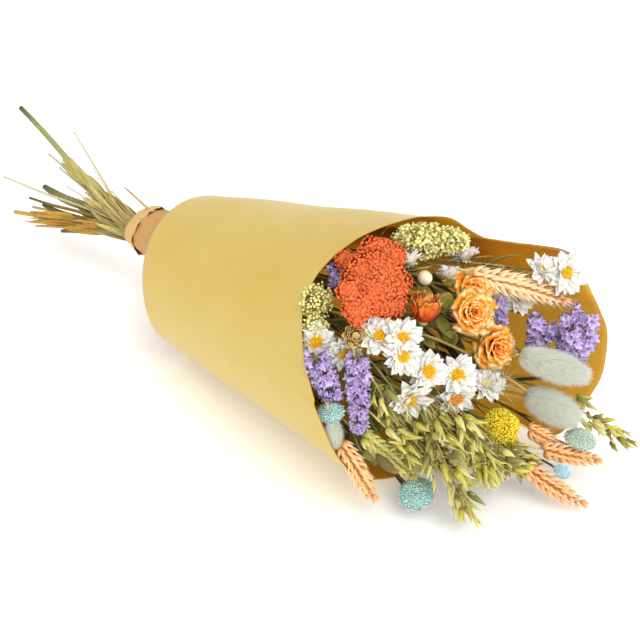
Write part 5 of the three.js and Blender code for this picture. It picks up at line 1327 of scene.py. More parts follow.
def collar():
    xs = np.unique(np.round(np.concatenate([np.linspace(-199, -182, 22), np.linspace(-182, -66, 44)]), 2))
    z = pchip(COLLAR[:, 0], COLLAR[:, 1], xs); ry = pchip(COLLAR[:, 0], COLLAR[:, 2], xs); rz = pchip(COLLAR[:, 0], COLLAR[:, 3], xs)
    n = 168
    A = (np.arange(n) / n * 2 * math.pi)[None]
    X = xs[:, None] + 0 * A
    yc = 3.4 * np.minimum(1, (-66 - xs) / 124)[:, None]
    grow = np.clip((xs + 199) / 50, .25, 1)[:, None] * np.clip((-60 - xs) / 40, 0, 1)[:, None]
    # straight creases that fan out from the tie, and the free edge of the wrap
    k = np.zeros_like(X)
    for a0, w, h in ((.35, .16, 1.0), (1.15, .12, 1.5), (1.62, .10, .8), (2.3, .2, 1.6), (2.95, .14, 1.1), (3.5, .12, 1.4), (4.2, .22, .9), (5.1, .18, 1.3), (5.75, .14, 1.0)):
        dA = np.abs((A - a0 - (xs[:, None] + 150) * .0016 + math.pi) % (2 * math.pi) - math.pi)
        k += h * np.clip(1 - dA / w, 0, 1)
    seam = ((A - 2.05 - (xs[:, None] + 150) * .0022) % (2 * math.pi))
    lap = np.where(seam < 1.2, (1 - seam / 1.2) * .9, 0)
    lip = .3 * np.exp(-((xs[:, None] + 197.5) / 2.0) ** 2)
    calm = np.clip((xs[:, None] + 190) / 12, 0, 1)
    rad = (k * grow * 1.45 + lap * np.clip(grow + .4, 0, 1)) * calm + lip
    S = lambda t: np.stack([X + (.8 * np.sin(A * 3 + 1) + .5 * np.sin(A * 7)) * np.clip((-193 - xs[:, None]) / 6, 0, 1) * .9, yc + (ry[:, None] - t + rad) * np.cos(A), z[:, None] + (rz[:, None] - t + rad) * np.sin(A)], -1)
    O, I = S(0), S(.55)
    m = len(xs); i = np.arange(n); j = (i + 1) % n; base = m * n
    Qo = np.concatenate([np.stack([q * n + i, (q + 1) * n + i, (q + 1) * n + j, q * n + j], -1) for q in range(m - 1)])
    Qi = np.concatenate([np.stack([base + q * n + i, base + q * n + j, base + (q + 1) * n + j, base + (q + 1) * n + i], -1) for q in range(m - 1)])
    Qr = np.concatenate([np.stack([(m - 1) * n + i, base + (m - 1) * n + i, base + (m - 1) * n + j, (m - 1) * n + j], -1), np.stack([i, j, base + j, base + i], -1)])
    V = np.vstack([O.reshape(-1, 3), I.reshape(-1, 3)])
    qm = np.concatenate([np.zeros(len(Qo), int), np.ones(len(Qi), int), np.full(len(Qr), 1)])
    b = Build()
    b.add(Tpl(V, np.vstack([Qo, Qi, Qr]), None, .5, .5, qm), 0, .5)
    uu = (np.arange(n) / n)[None] + 0 * X
    vv = (X + 200) / 136
    uv = np.concatenate([np.stack([uu * .9, vv * .48], -1).reshape(-1, 2), np.stack([uu * .9, .5 + vv * .48], -1).reshape(-1, 2)])
    # the end is turned back over itself as a loose cuff with an uneven torn edge
    f = np.linspace(0, 1, 26)[:, None]
    xe = -173.5 + 4.5 * np.sin(A) + 1.6 * np.sin(3 * A + .7) + .9 * np.sin(7 * A + 2) + .5 * np.sin(16 * A)
    xc = -199.4 + (xe + 199.4) * f
    zc, rc = pchip(COLLAR[:, 0], COLLAR[:, 1], np.clip(xc, -199, -66)), pchip(COLLAR[:, 0], COLLAR[:, 2], np.clip(xc, -199, -66))
    kc = np.zeros_like(xc)
    for a0, w, h in ((.5, .2, 1.1), (1.3, .14, 1.5), (1.95, .12, 1.2), (2.6, .16, 1.6), (3.3, .18, 1.1), (4.1, .16, 1.3), (4.9, .2, 1.0), (5.7, .16, 1.2)):
        dA = np.abs((A - a0 + (xc + 190) * .006 + math.pi) % (2 * math.pi) - math.pi)
        kc += h * np.clip(1 - dA / w, 0, 1)
    off = .6 + .5 * np.sin(math.pi * np.clip(f * .8, 0, 1)) + kc * (.3 + .8 * f) + .45 * f ** 2 * (1 + np.sin(5 * A + 1)) + .5 * np.clip((xc + 190) / 12, 0, 1)
    ring_ = lambda t: np.stack([xc + 0 * A, 3.4 * np.minimum(1, (-66 - xc) / 124) + (rc + off - t) * np.cos(A), zc + (rc + off - t) * np.sin(A)], -1)
    CO, CI = ring_(0), ring_(.4)
    mc = len(f); bc = mc * n
    Qc = np.concatenate([np.stack([q * n + i, (q + 1) * n + i, (q + 1) * n + j, q * n + j], -1) for q in range(mc - 1)] +
                        [np.stack([bc + q * n + i, bc + q * n + j, bc + (q + 1) * n + j, bc + (q + 1) * n + i], -1) for q in range(mc - 1)] +
                        [np.stack([(mc - 1) * n + i, bc + (mc - 1) * n + i, bc + (mc - 1) * n + j, (mc - 1) * n + j], -1), np.stack([i, j, bc + j, bc + i], -1)])
    # the cuff uses the lighter copy of the collar paper, which paints the light on it
    b.add(Tpl(np.vstack([CO.reshape(-1, 3), CI.reshape(-1, 3)]), Qc, None, .5, .5), 3, .5)
    uc = np.stack([np.tile((np.arange(n) / n)[None] * .9 + 0 * xc, (2, 1)).reshape(-1), np.concatenate([(.962 + .016 * f + 0 * A).reshape(-1), (.980 + .016 * f + 0 * A).reshape(-1)])], 1)
    uv = np.vstack([uv, uc])
    # a dry twig stub caught under the free edge
    P = catmull([[-168, 3.0, 83.6], [-178, .8, 87.6], [-192, -2.1, 94.8], [-204, -3.6, 99.7]], 5)
    t = tube(P, np.interp(np.linspace(0, 1, len(P)), [0, .3, .8, 1], [.9, 1.15, .85, .3]), 9, .12, 3)
    b.add(t, 2, .5)
    uv = np.vstack([uv, np.stack([.92 + .06 * t.edge, .1 + .8 * t.grad], 1)])
    return make('stem_collar', b, ['collar_out', 'collar_in', 'twig_pink', 'collar_cuff_lit'], 'stem_collar', hold=False, uv=uv)


def tie():
    b = Build()
    for q in range(4):
        for s in (0, math.pi):
            t = np.linspace(0, 2 * math.pi, 150)
            x = -198.0 + q * 1.02 + .12 * np.sin(3 * t + q)
            tw = t * 26 + s
            r = 10.55 + .22 * np.cos(tw)
            P = np.stack([x + .22 * np.sin(tw), 3.4 + r * np.cos(t), 58.5 + r * np.sin(t)], 1)
            b.add(tube(P, .27, 6), 0, .35 + .1 * q)
    P = catmull([[-197.4, 3.4, 69.2], [-196.1, 5, 69.3], [-195.5, 7, 68.5], [-196.4, 8.2, 67.6]], 5)
    b.add(tube(P, .34, 6), 0, .5)
    return make('binding_tie', b, ['twine'], 'binding_tie', hold=False)


# ------------------------------------------------------------------ leaves and bits between the flowers
NARROW = [petal(.10, 4, 10, 'blade', .5, .05, .25 * (q - 1.5), .25, .01, 2, q, .012, .5 * (q - 1.5)) for q in range(4)]
BROAD = [petal(.42, 6, 9, 'leaf', .12, .1, .35 * (q - 1), .30, .02, 2, q, .012, .3 * (q - 1)) for q in range(3)]
ROUND = [petal(.86, 8, 9, 'round', .10, .05, .25, .34, .015, 2, q, .012, .2 * (q - .5)) for q in range(2)]


def dress(b, P, rg, n, mats, L=(16, 30), x0=70., x1=150., tpls=None, spreadk=.45):
    """Narrow dry leaves along a stem inside the mouth."""
    tpls = tpls or NARROW
    x = P[:, 0]
    x1 = min(x1, x.max() - 8)
    if x1 <= x0:
        return
    for i in range(n):
        q = rg.uniform(x0, x1)
        k = int(np.clip(np.searchsorted(x, q), 1, len(P) - 1))
        base = P[k - 1] + (P[k] - P[k - 1]) * (q - x[k - 1]) / max(x[k] - x[k - 1], 1e-6)
        d = unit(P[k] - P[k - 1])
        F = basis_z(d)[0]
        a = rg.uniform(0, 6.28)
        o = F[:, 0] * math.cos(a) + F[:, 1] * math.sin(a)
        leaf(b, base, d + o * spreadk * rg.uniform(.6, 1.4), d * -.3 + o + rg.uniform(-.3, .3, 3), rg.uniform(*L), tpls[rg.randint(len(tpls))], mats[rg.randint(len(mats))], rg.uniform(.1, .9))


def curl(b, base, d, L, rg, mat, r=.3, turn=1.2):
    """Thin dry tendril."""
    F = basis_z(unit(d))[0]
    s = np.linspace(0, 1, 14)
    a = s * turn * 2 * math.pi + rg.uniform(0, 6)
    P = np.asarray(base, float) + unit(d) * (s * L)[:, None] + F[:, 0] * (np.sin(a) * L * .10 * s)[:, None] + F[:, 1] * (np.cos(a) * L * .10 * s)[:, None]
    b.add(tube(P, np.linspace(r, r * .45, 14), 5), mat, rg.uniform(.2, .8))


def cut_end(b, P, r, mat):
    d = unit(P[-1] - P[-2])
    b.add(lathe([(-.2, 0), (0, .9), (.22, .86), (.2, 0)], 12).moved(basis_z(d)[0] * r, P[-1]), mat, .5)


def start(name, mats, smat, heads_back=None, r=1.0, ped=.7, leaves=6, lmat=None, tail_mat=None, lx=(62., 190.), ll=(14, 28)):
    for m in ('leaf_dark', 'leaf_green', 'leaf_straw'):
        if m not in mats:
            mats.append(m)
    row, rg, b = ROW[name], seeded(name), Build()
    P = stems(b, row, rg, mats.index(smat), r, 7, heads_back, ped, .06, None if tail_mat is None else mats.index(tail_mat))
    pick = [mats.index(m) for m in ('leaf_dark', 'leaf_dark', 'leaf_green', 'leaf_straw')]
    if leaves:
        dress(b, P, rg, leaves, pick, ll, *lx)
    if 'stub' in row:
        out = np.array([-212.0 - row['stub'], row['slot'][0], row['slot'][1]])
        cut_end(b, np.array([out + [4, 0, 0], out]), r * .95, mats.index(smat))
    else:
        tail_fill(b, rg, 9, [mats.index(m) for m in ('leaf_straw' if smat == 'coral_stalk' else smat, 'leaf_straw', 'leaf_straw', 'leaf_green', 'leaf_dark')])
    return row, rg, b, P


TAILS = [np.array(r['tail'], float) for r in ROWS if 'tail' in r]


def tail_fill(b, rg, n, pick):
    """Shorter dry stem ends and leaf bases between the long ones where the bunch leaves the collar."""
    for i in range(n):
        a, q = rg.uniform(0, 6.28), math.sqrt(rg.uniform(.15, 1)) * 10.2
        c = np.array([-200.0, 3.4 + q * math.cos(a), 58.8 + q * math.sin(a)])
        best = sorted(range(len(TAILS)), key=lambda k: abs(math.atan2(TAILS[k][2] - 58, TAILS[k][1] - 3 + 1e-6) - math.atan2(math.sin(a), math.cos(a))))
        w = rg.uniform(.2, .8)
        tip = TAILS[best[0]] * w + TAILS[rg.randint(len(TAILS))] * (1 - w)
        L = rg.uniform(26, 84)
        pick = pick[:3] if math.sin(a) > -.1 else pick
        d = unit(tip - c + rg.uniform(-6, 6, 3))
        end = c + d * L
        start_ = np.array([-172.0, 3 + (c[1] - 3) * .6, 60 + (c[2] - 60) * .6])
        P = wobble(bezier(start_, np.array([-191.0, c[1] * .95, c[2]]), c + d * L * .2 + [-2, 0, 0], end, 14), rg, 1.2)
        if i % 3 == 2:
            t = petal(rg.uniform(.07, .13), 6, 12, 'blade', .9, .02, rg.uniform(-.15, .2), .5, .02, 3, i, .012, rg.uniform(-.6, .6))
            leaf(b, c - d * 6, d, rg.normal(size=3) + [0, -.6, .6], L * rg.uniform(.8, 1.1), t, pick[rg.randint(1, len(pick))], rg.uniform(.2, .9))
        else:
            r = rg.uniform(.55, 1.25)
            b.add(tube(P, np.linspace(r, r * rg.uniform(.6, .95), 14), 8, .08, 3), pick[rg.randint(len(pick))], rg.uniform(.2, .85))


RIGHTV = np.array([math.cos(math.radians(48.1)), math.sin(math.radians(48.1)), 0])
UPV = unit(np.cross(TO_CAM, RIGHTV))
YARROW_MORE = (([147.5, -44.5, 155.5], 14), ([150.5, -62.0, 151.5], 11.5), ([149, -38, 149], 12), ([154.0, -70.5, 147.4], 9.5), ([156.0, -43.6, 141.0], 10), ([155.0, -72.1, 140.0], 5), ([146.0, -32.8, 166.2], 8), ([150.0, -74.5, 157.6], 7))


def finish(name, b, mats, row=None, endmat='cut_end'):
    if row is not None and 'tailpath' in row:
        mats = mats + [endmat]
        cut_end(b, row['tailpath'], row['tailr'][-1], len(mats) - 1)
    return make(name, b, mats, name)


def sheath_leaves(b, P, rr, rg, mat, n, L, asp=.14, f0=.05, f1=.6):
    """Dry leaf bases that wrap a free stem end."""
    for i in range(n):
        f = f0 + (f1 - f0) * i / max(n - 1, 1)
        k = int(f * (len(P) - 1))
        d = unit(P[min(k + 1, len(P) - 1)] - P[k])
        F = basis_z(d)[0]; a = rg.uniform(0, 6.28)
        o = F[:, 0] * math.cos(a) + F[:, 1] * math.sin(a)
        t = petal(asp, 8, 12, 'blade', .9, .03, rg.uniform(-.12, .2), .5, .02, 3, i, .01, rg.uniform(-.5, .5))
        leaf(b, P[k] + o * rr[k] * .7, d + o * .05, o, L * rg.uniform(.8, 1.15), t, mat, rg.uniform(.25, .85))


def strips(b, P, rr, rg, ms, n, L, asp, f0, f1, bias, spread):
    """Peeling dry strips along a free stem end, most of them on one side."""
    for i in range(n):
        f = f0 + (f1 - f0) * (i + rg.uniform(0, .8)) / n
        k = int(f * (len(P) - 1))
        d = unit(P[min(k + 2, len(P) - 1)] - P[k])
        o = unit(bias + rg.normal(0, .5, 3)); o = unit(o - d * (o @ d))
        t = petal(asp * rg.uniform(.6, 1.2), 8, 14, 'blade', 1.1, .03, rg.uniform(-.12, .16), .7, .03, 3, i, .014, rg.uniform(-.9, .9))
        leaf(b, P[k] + o * (rr[k] * .6 + rg.uniform(0, spread)), d + o * rg.uniform(-.02, .10), TO_CAM * .8 + o * .5 + rg.normal(0, .3, 3), L * rg.uniform(.6, 1.15), t, ms[i % len(ms)], rg.uniform(.2, .9))


# ------------------------------------------------------------------ the flowers, one object for each cut stem
def n_yarrow_large():
    mats = ['coral', 'coral_stalk', 'sheath', 'leaf_dark']
    row, rg, b, P = start('yarrow_coral_large', mats, 'coral_stalk', [20, 16], 1.0, .9, 3, 'leaf_dark', 'sheath')
    for h in row['heads']:
        yarrow_dome(b, np.array(h['at']) + (UPV * 4.6 if h['r'] > 20 else UPV * -4.5), h['dir'], h['r'] * (.95 if h['r'] > 20 else 1.0), h['h'] * 1.05, rg, np.array(h['at']) - unit(h['dir']) * (19 if h['r'] > 20 else 15), 0, 1)
    for c, r in YARROW_MORE:
        yarrow_dome(b, c, [.78, -.47, .42], r, .42, rg, np.array(c) - [15, -9, 8], 0, 1)
    T, rr = row['tailpath'], row['tailr']
    sheath_leaves(b, T, rr, rg, 2, 4, 40, .15, .05, .4)
    finish('yarrow_coral_large', b, mats, row, 'sheath')


def n_yarrow_small():
    mats = ['coral', 'coral_stalk', 'leaf_dark']
    row, rg, b, P = start('yarrow_coral_small', mats, 'coral_stalk', [9], .9, .7, 2, 'leaf_dark')
    h = row['heads'][0]
    yarrow_dome(b, h['at'], h['dir'], h['r'] * 1.25, .6, rg, np.array(h['at']) - unit(h['dir']) * 9, 0, 1)
    finish('yarrow_coral_small', b, mats, row)


def n_buds():
    mats = ['bud', 'bud_stalk', 'leaf_green']
    row, rg, b, P = start('bud_spray_top', mats, 'bud_stalk', [12, 13], .9, .6, 3, 'leaf_green')
    for h, n, f in zip(row['heads'], (300, 440), (.5, .5)):
        bud_cluster(b, np.array(h['at']) + UPV * 1.6, h['r'] * 1.18, h['h'] * .9, UPV, rg, n, np.array(h['at']) - unit(h['dir']) * 12, 0, 1, 1.3, f)
    for c, r, n in (([141, 2, 158], 8.5, 90), ([147.5, 25, 160.5], 7.5, 70), ([139, 8, 170], 8, 80)):
        bud_cluster(b, c, r, .7, UPV, rg, n, np.array([126, 2, 150.]), 0, 1, 1.3, .5)
    finish('bud_spray_top', b, mats, row)
    row, rg, b, P = start('bud_spray_left', mats, 'bud_stalk', [8, 7], .9, .6, 2, 'leaf_green')
    for h, n in zip(row['heads'], (210, 150)):
        bud_cluster(b, h['at'], h['r'] * 1.5, h['h'], h['dir'], rg, n, np.array(h['at']) - unit(h['dir']) * 8, 0, 1, 1.12, .2)
    finish('bud_spray_left', b, mats, row)


def n_daisies():
    base = ['daisy_white', 'daisy_disc', 'bract', 'stalk_green', 'leaf_dark', 'leaf_green']
    spec = {
        'daisy_pair_left': [(1.22, 1, .34), (1.2, .85, .34)],
        'daisy_trio_upper': [(1.35, .72, .32), (1.35, 1, .33)],
        'daisy_mid_left': [(1.3, 1, .32)],
        'daisy_centre': [(1.2, .95, .38), (1.16, 1, .37)],
        'daisy_front_pair': [(1.3, .9, .3)],
        'daisy_top_right': [(1.55, .95, .2), (1.6, .5, .2)],
        'daisy_edge_on': [(1.35, .55, .3)],
        'daisy_shaded_pair': [(1.3, .7, .3), (1.3, .6, .3)],
        'daisy_shaded_low': [(1.6, .7, .25)],
    }
    tails = {'daisy_centre': 'pale_stem', 'daisy_shaded_pair': 'pale_stem', 'daisy_half_open': 'olive_fat', 'daisy_brown_centre': 'brown_olive'}
    for name in ('daisy_pair_left', 'daisy_trio_upper', 'daisy_mid_left', 'daisy_centre', 'daisy_front_pair', 'daisy_top_right', 'daisy_edge_on', 'daisy_shaded_pair', 'daisy_shaded_low'):
        mats = base + ([tails[name]] if name in tails else [])
        row, rg, b, P = start(name, mats, 'stalk_green', [h['r'] * .38 for h in ROW[name]['heads']], .95, .6, 6, 'leaf_dark', tails.get(name))
        for h, (k, op, dk) in zip(row['heads'], spec[name]):
            dr = unit(UPV - TO_CAM * .12 + RIGHTV * rg.uniform(-.4, .4)) if name in ('daisy_shaded_pair', 'daisy_edge_on') else h['dir']
            daisy(b, h['at'], dr, h['r'] * k, rg, op, dk, 0, 1, 2)
        if name in ('daisy_centre', 'daisy_trio_upper', 'daisy_mid_left'):
            for h in row['heads']:
                for q in range(3):
                    a = rg.uniform(0, 6.28); F = basis_z(h['dir'])[0]
                    o = F[:, 0] * math.cos(a) + F[:, 1] * math.sin(a)
                    leaf(b, np.array(h['at']) - unit(h['dir']) * 8 + o * 1, o + unit(h['dir']) * .35, unit(h['dir']), rg.uniform(12, 18), NARROW[q], 4 + q % 2, rg.uniform(.1, .7))
        finish(name, b, mats, row, 'cut_end')
    # the half-open one, white with a pale green middle
    name = 'daisy_half_open'
    mats = ['daisy_white', 'disc_green', 'bract', 'stalk_green', 'leaf_dark', 'olive_fat']
    row, rg, b, P = start(name, mats, 'stalk_green', [4.2], .95, .6, 10, 'leaf_dark', 'olive_fat', (105., 190.), (14, 26))
    h = row['heads'][0]
    daisy(b, h['at'], unit(TO_CAM * .8 + UPV * .35 + RIGHTV * .25), h['r'] * 1.2, rg, .75, .22, 0, 1, 2)
    T, rr = row['tailpath'], row['tailr']
    k = int(len(T) * .36)
    b.add(tube(T[k:-1] + [0, -.4, -1.2], np.interp(np.linspace(0, 1, len(T) - 1 - k), [0, .2, .6, .9, 1], [1.6, 3.6, 4.2, 3.2, 2.2]), 14, .10, 5), 5, .6)
    t = petal(.10, 8, 16, 'blade', .9, .02, -.12, .8, .01, 3, 1, .02, -.4)
    leaf(b, T[k] + [0, 1, -3], T[-1] - T[k], [0, .6, -1], 66, t, 5, .2)
    finish(name, b, mats, row)
    # brown-orange centre and its bud
    name = 'daisy_brown_centre'
    mats = ['daisy_white', 'disc_brown', 'bract', 'stalk_green', 'leaf_dark', 'brown_olive']
    row, rg, b, P = start(name, mats, 'stalk_green', [4.2, 3.4], .95, .6, 3, 'leaf_dark', 'brown_olive')
    h = row['heads'][0]
    daisy(b, h['at'], h['dir'], h['r'] * 1.2, rg, .95, .38, 0, 1, 2)
    h = row['heads'][1]
    bracted_bud(b, h['at'], h['dir'], h['r'] * 1.05, 1.05, rg, 0, 2, 6)
    # the free end has a thick dry leaf base that bows down between the collar and the tip
    T = row['tailpath']
    f = np.linspace(0, 1, len(T))
    k = int(len(T) * .90)
    b.add(tube((T + np.stack([0 * f, 0 * f, -7.5 * np.sin(math.pi * f) ** 1.2], 1))[:k], np.interp(f[:k], [0, .2, .5, .8, 1], [1.4, 3.0, 3.5, 2.2, 1.2]), 14, .12, 4), 5, .35)
    finish(name, b, mats, row)


def n_small_heads():
    mats = ['cream', 'bract', 'stalk_green', 'leaf_dark']
    row, rg, b, P = start('bud_cream', mats, 'stalk_green', [4.6], .95, .6, 12, 'leaf_dark', None, (100., 190.), (14, 26))
    h = row['heads'][0]
    bracted_bud(b, h['at'], h['dir'], h['r'] * 1.05, 1.0, rg, 0, 1, 7)
    finish('bud_cream', b, mats, row)
    mats = ['tan', 'bract', 'stalk_brown', 'leaf_dark']
    row, rg, b, P = start('strawflower_tan', mats, 'stalk_brown', [5], .95, .6, 6, 'leaf_dark')
    h = row['heads'][0]
    strawflower(b, h['at'], h['dir'], h['r'] * 1.5, rg, 0, 1)
    finish('strawflower_tan', b, mats, row)


def n_roses():
    base = ['rose', 'rose_leaf', 'stalk_green', 'leaf_dark', 'rose_deep']
    for name, kind, k, tail in (('rose_upper', 'open', 1.04, 'grey_stem'), ('rose_lower', 'open', 1.04, 'pale_stem'), ('rose_back', 'back', 1.32, None), ('rose_bud', 'bud', 1.12, None)):
        mats = base + ([tail] if tail else [])
        row, rg, b, P = start(name, mats, 'stalk_green', [ROW[name]['heads'][0]['r'] * .98], 1.05, .8, 9, 'leaf_dark', tail, (105., 190.), (14, 26))
        h = row['heads'][0]
        at = np.array(h['at'])
        dr = {'rose_back': unit(np.array(h['dir']) + TO_CAM * .8), 'rose_bud': unit(UPV * .92 + TO_CAM * .36 + RIGHTV * .1)}.get(name, h['dir'])
        rose(b, at - (UPV * 2.5 if kind == 'bud' else 0), dr, h['r'] * k, rg, kind, 4 if kind == 'bud' else 0, 1)
        if name == 'rose_lower':
            rose(b, [175.0, 27.0, 107.5], [.85, -.1, .45], 8.2, rg, 'back', 4, 1)
            b.add(tube(bezier([148, 20, 84], [156, 24, 92], [164, 27, 99], [170, 27.5, 104.5], 8), .7, 6), 2, .5)
        if name == 'rose_upper':
            leaf(b, [157.0, 1.5, 123.0], [.30, .25, .75], TO_CAM + [.1, 0, .1], 13.5, ROUND[0], 1, .75)
            leaf(b, [160.0, 4.5, 96.5], [.45, .25, .6], TO_CAM + [0, .1, .1], 13.0, ROUND[1], 1, .65)
            b.add(tube(bezier([150, 1, 112], [153, 1, 116], [156, 1.5, 120], [157.5, 2, 124], 8), .5, 6), 2, .5)
            b.add(tube(bezier([148, 1, 96], [152, 2, 95], [157, 4, 95], [160.5, 4.8, 97.4], 8), .5, 6), 2, .5)
            for q, (p, d, L) in enumerate([([150, 6, 112], [.7, -.1, -.35], 20), ([152, 2, 118], [.5, .6, .3], 18), ([150, -6, 100], [.8, -.2, -.2], 17)]):
                leaf(b, p, d, [.5, -.5, .7], L, BROAD[q], 1, .4)
        if name == 'rose_upper':
            # dark brown leaves and leaf stalks deep between the stems; their dark colour partly paints the shade deep
            # in the bunch
            for q, (p, dd, L2) in enumerate(SHADE_LEAVES):
                p, dd = np.array(p), np.array(dd)
                k = int(np.argmin(np.linalg.norm(P - (p - dd * 24 - [16, 0, 0]), axis=1)))
                b.add(tube(bezier(P[k], P[k] + unit(P[min(k + 1, len(P) - 1)] - P[k - 1]) * 8, p - dd * 9, p + dd, 9), np.linspace(.55, .36, 9), 5), 2, rg.uniform(.2, .6))
                tpl = BROAD[q % 3] if q % 2 else petal(.22, 6, 12, 'blade', .6, .06, rg.uniform(-.2, .3), .3, .015, 2, q, .012, rg.uniform(-.5, .5))
                leaf(b, p, dd, TO_CAM + rg.normal(0, .4, 3), L2, tpl, 3, rg.uniform(.1, .7))
        if name == 'rose_lower':
            for q, (p, d, L) in enumerate([([160, 22, 84], [.7, -.35, -.45], 18), ([162, 26, 80], [.6, .5, -.5], 19), ([168, 34, 92], [.5, .7, .3], 16)]):
                leaf(b, p, d, [.5, -.5, .7], L, BROAD[q], 1, .35)
        if name == 'rose_bud':
            leaf(b, [158, -26, 122], [.55, -.35, .30], [.4, -.3, .9], 17, BROAD[1], 1, .5)
            leaf(b, [158, -21, 122], [.5, .55, .35], [.4, -.3, .9], 15, BROAD[2], 1, .4)
        finish(name, b, mats, row)


def n_statice():
    mats = ['statice', 'statice_green', 'statice_white', 'stalk_green', 'leaf_dark']
    spec = {'statice_left_low': (58, 3.5, 1, 1.06), 'statice_left_tall': (86, 3.5, 1, .94), 'statice_deep_left': (52, 3.4, 1, 1.75), 'statice_mid': (30, 2.9, 1, .82), 'statice_right_near': (46, 3.9, 2, 1.12), 'statice_right_far': (126, 4.0, 3, 1.12)}
    for name, (n, size, br, k) in spec.items():
        row, rg, b, P = start(name, mats, 'stalk_green', [1.5], 1.0, .7, 2, 'leaf_dark')
        h = row['heads'][0]
        off = {'statice_left_low': RIGHTV * -1.6, 'statice_left_tall': RIGHTV * 1.6, 'statice_deep_left': RIGHTV * -3.2}.get(name, RIGHTV * 0)
        statice(b, np.array(h['at']) + off, h['dir'], h['r'] * k, h['len'], rg, n, 1.0, 0, 1, 2, size, TO_CAM * .5, br, .5 if br > 1 else 0)
        finish(name, b, mats, row)


def n_wheat():
    spec = {'wheat_top': ('peach', 24, (.35, .9), 1.5, 'green_thick'), 'wheat_front_left': ('peach_orange', 17, (.15, .5), 1.0, None), 'wheat_right_a': ('peach_orange', 11, (.3, .8), 1.2, None),
            'wheat_right_b': ('peach_orange', 16, (.3, .8), 1.2, None), 'wheat_right_c': ('peach_orange', 17, (.3, .8), 1.3, None), 'wheat_green': ('wheat_green', 20, (.05, .3), .6, None)}
    for name, (m, n, aw, tip, tail) in spec.items():
        sm = 'stalk_straw' if m != 'wheat_green' else 'oat_stalk'
        mats = [m, sm, 'leaf_dark'] + ([tail, 'sheath'] if tail else [])
        row, rg, b, P = start(name, mats, sm, [1.5], 1.0, .8, 2, 'leaf_dark', tail)
        h = row['heads'][0]
        wheat(b, np.array(h['at']) - (UPV * 2.2 if name == 'wheat_top' else 0), h['dir'], h['r'] * {'wheat_top': .98, 'wheat_front_left': 1.0, 'wheat_green': 1.5}.get(name, .95), h['len'], rg, 0, 1, n, aw, TO_CAM, {'wheat_top': .78, 'wheat_green': .72}.get(name, .70), tip, .25 if name == 'wheat_green' else .178, 1.16 if name == 'wheat_green' else 1.66)
        if tail:
            T, rr = row['tailpath'], row['tailr']
            # joint and the split of the dry leaf base
            k = int(len(T) * .55)
            b.add(lathe([(-3, 0), (-2, .9), (0, 1.12), (2, .95), (3, 0)], 12).moved(basis_z(unit(T[k + 1] - T[k]))[0] * 1.0 @ np.diag([rr[k] * 1.02, rr[k] * 1.02, 1]), T[k]), 3, .3)
            sheath_leaves(b, T, rr, rg, mats.index('sheath'), 6, 44, .15, .02, .42)
            k = int(len(T) * .62)
            b.add(tube(T[:k] - [0, .9, .9], np.interp(np.linspace(0, 1, k), [0, .25, .85, 1], [1.8, 4.2, 4.4, 3.0]), 14, .05, 5), mats.index('sheath'), .6)
            t = petal(.16, 8, 12, 'blade', 1.1, .02, .1, .6, .02, 3, 1, .012, .3)
            leaf(b, T[k - 6] + [0, -1, 2], T[k + 4] - T[k - 4], [0, -.5, 1], 30, t, mats.index('sheath'), .7)
        finish(name, b, mats, row)


def n_harestails():
    mats = ['mint_a', 'mint_b', 'mint_c', 'mint_core', 'stalk_straw', 'leaf_dark']
    for name, n, hl in (('harestail_upper', 9000, 8.6), ('harestail_lower', 9000, 8.8), ('harestail_small', 3000, 5.2)):
        row, rg, b, P = start(name, mats, 'stalk_straw', [1.5], .9, .7, 2, 'leaf_dark')
        h = row['heads'][0]
        harestail(b, h['at'], h['dir'], h['r'] * .95, h['len'] * .94, rg, n, (0, 1, 2), 3, 4, .12, hl)
        if name == 'harestail_lower':
            P2 = catmull([[96, -24, 92], [130, -17, 103], [158, -8.1, 104.5], [178, 20.5, 84.4], [203, 38.4, 65.8], [207, 41, 62]], 6)
            b.add(tube(P2, np.linspace(1.0, .8, len(P2)), 8, .06), 4, .55)
            for q in range(46):
                c = np.array([190, 22, 70]) + rg.normal(0, 4, 3)
                dr = unit(np.array([.5, .35, .25]) + rg.uniform(-.6, .6, 3))
                L = rg.uniform(12, 24)
                b.add(tube(np.array([c, c + dr * L * .5 + rg.uniform(-.6, .6, 3), c + dr * L]), [.28, .2, .06], 4), mats.index('leaf_green' if q % 2 else 'leaf_straw'), rg.uniform(.3, .9))
        finish(name, b, mats, row)


def seg_of(name, k=0):
    h = ROW[name]['heads'][k]
    a = np.array(h['at'], float)
    return a, a + (np.array(h['dir'], float) * h['len'] if 'len' in h else 0)


SHOW = [(np.array([165., -3.9, 24.2]), np.array([165., -3.9, 24.2]), 4.5), seg_of('wheat_green') + (8.5,), seg_of('yellow_globe') + (15.,), seg_of('button_front') + (12.,), seg_of('daisy_front_pair') + (11.,),
        seg_of('daisy_brown_centre') + (12.,), seg_of('daisy_centre', 0) + (11.,), seg_of('daisy_centre', 1) + (11.,), seg_of('wheat_front_left') + (6.,)]


def clear(p):
    """True where an oat spikelet would lie over a flower that shows in front of the oats."""
    for a, c, r in SHOW:
        u = c - a
        t = np.clip((p - a) @ u / max(u @ u, 1e-9), 0, 1) if u @ u > 1 else 0
        w = p - (a + u * t)
        q = w @ TO_CAM
        if q > -4 and np.linalg.norm(w - TO_CAM * q) < r:
            return True
    return False


DD = {'oat_left': [.50, .30, -.70], 'oat_front_left': [.44, .16, -.80], 'oat_front_long': [.46, .20, -.80], 'oat_centre': [.56, .42, -.66], 'oat_right_low': [.60, .55, -.50]}
LOOSE = {'oat_left': (22, [164, -66, 88], [180, -50, 78], 26, 13), 'oat_front_left': (20, [180, -60, 62], [188, -46, 62], 32, 14),
         'oat_front_long': (28, [186, -46, 68], [198, -30, 62], 46, 15), 'oat_centre': (38, [192, -32, 66], [204, -10, 56], 40, 15), 'oat_right_low': (24, [208, -12, 42], [220, 6, 34], 30, 14)}

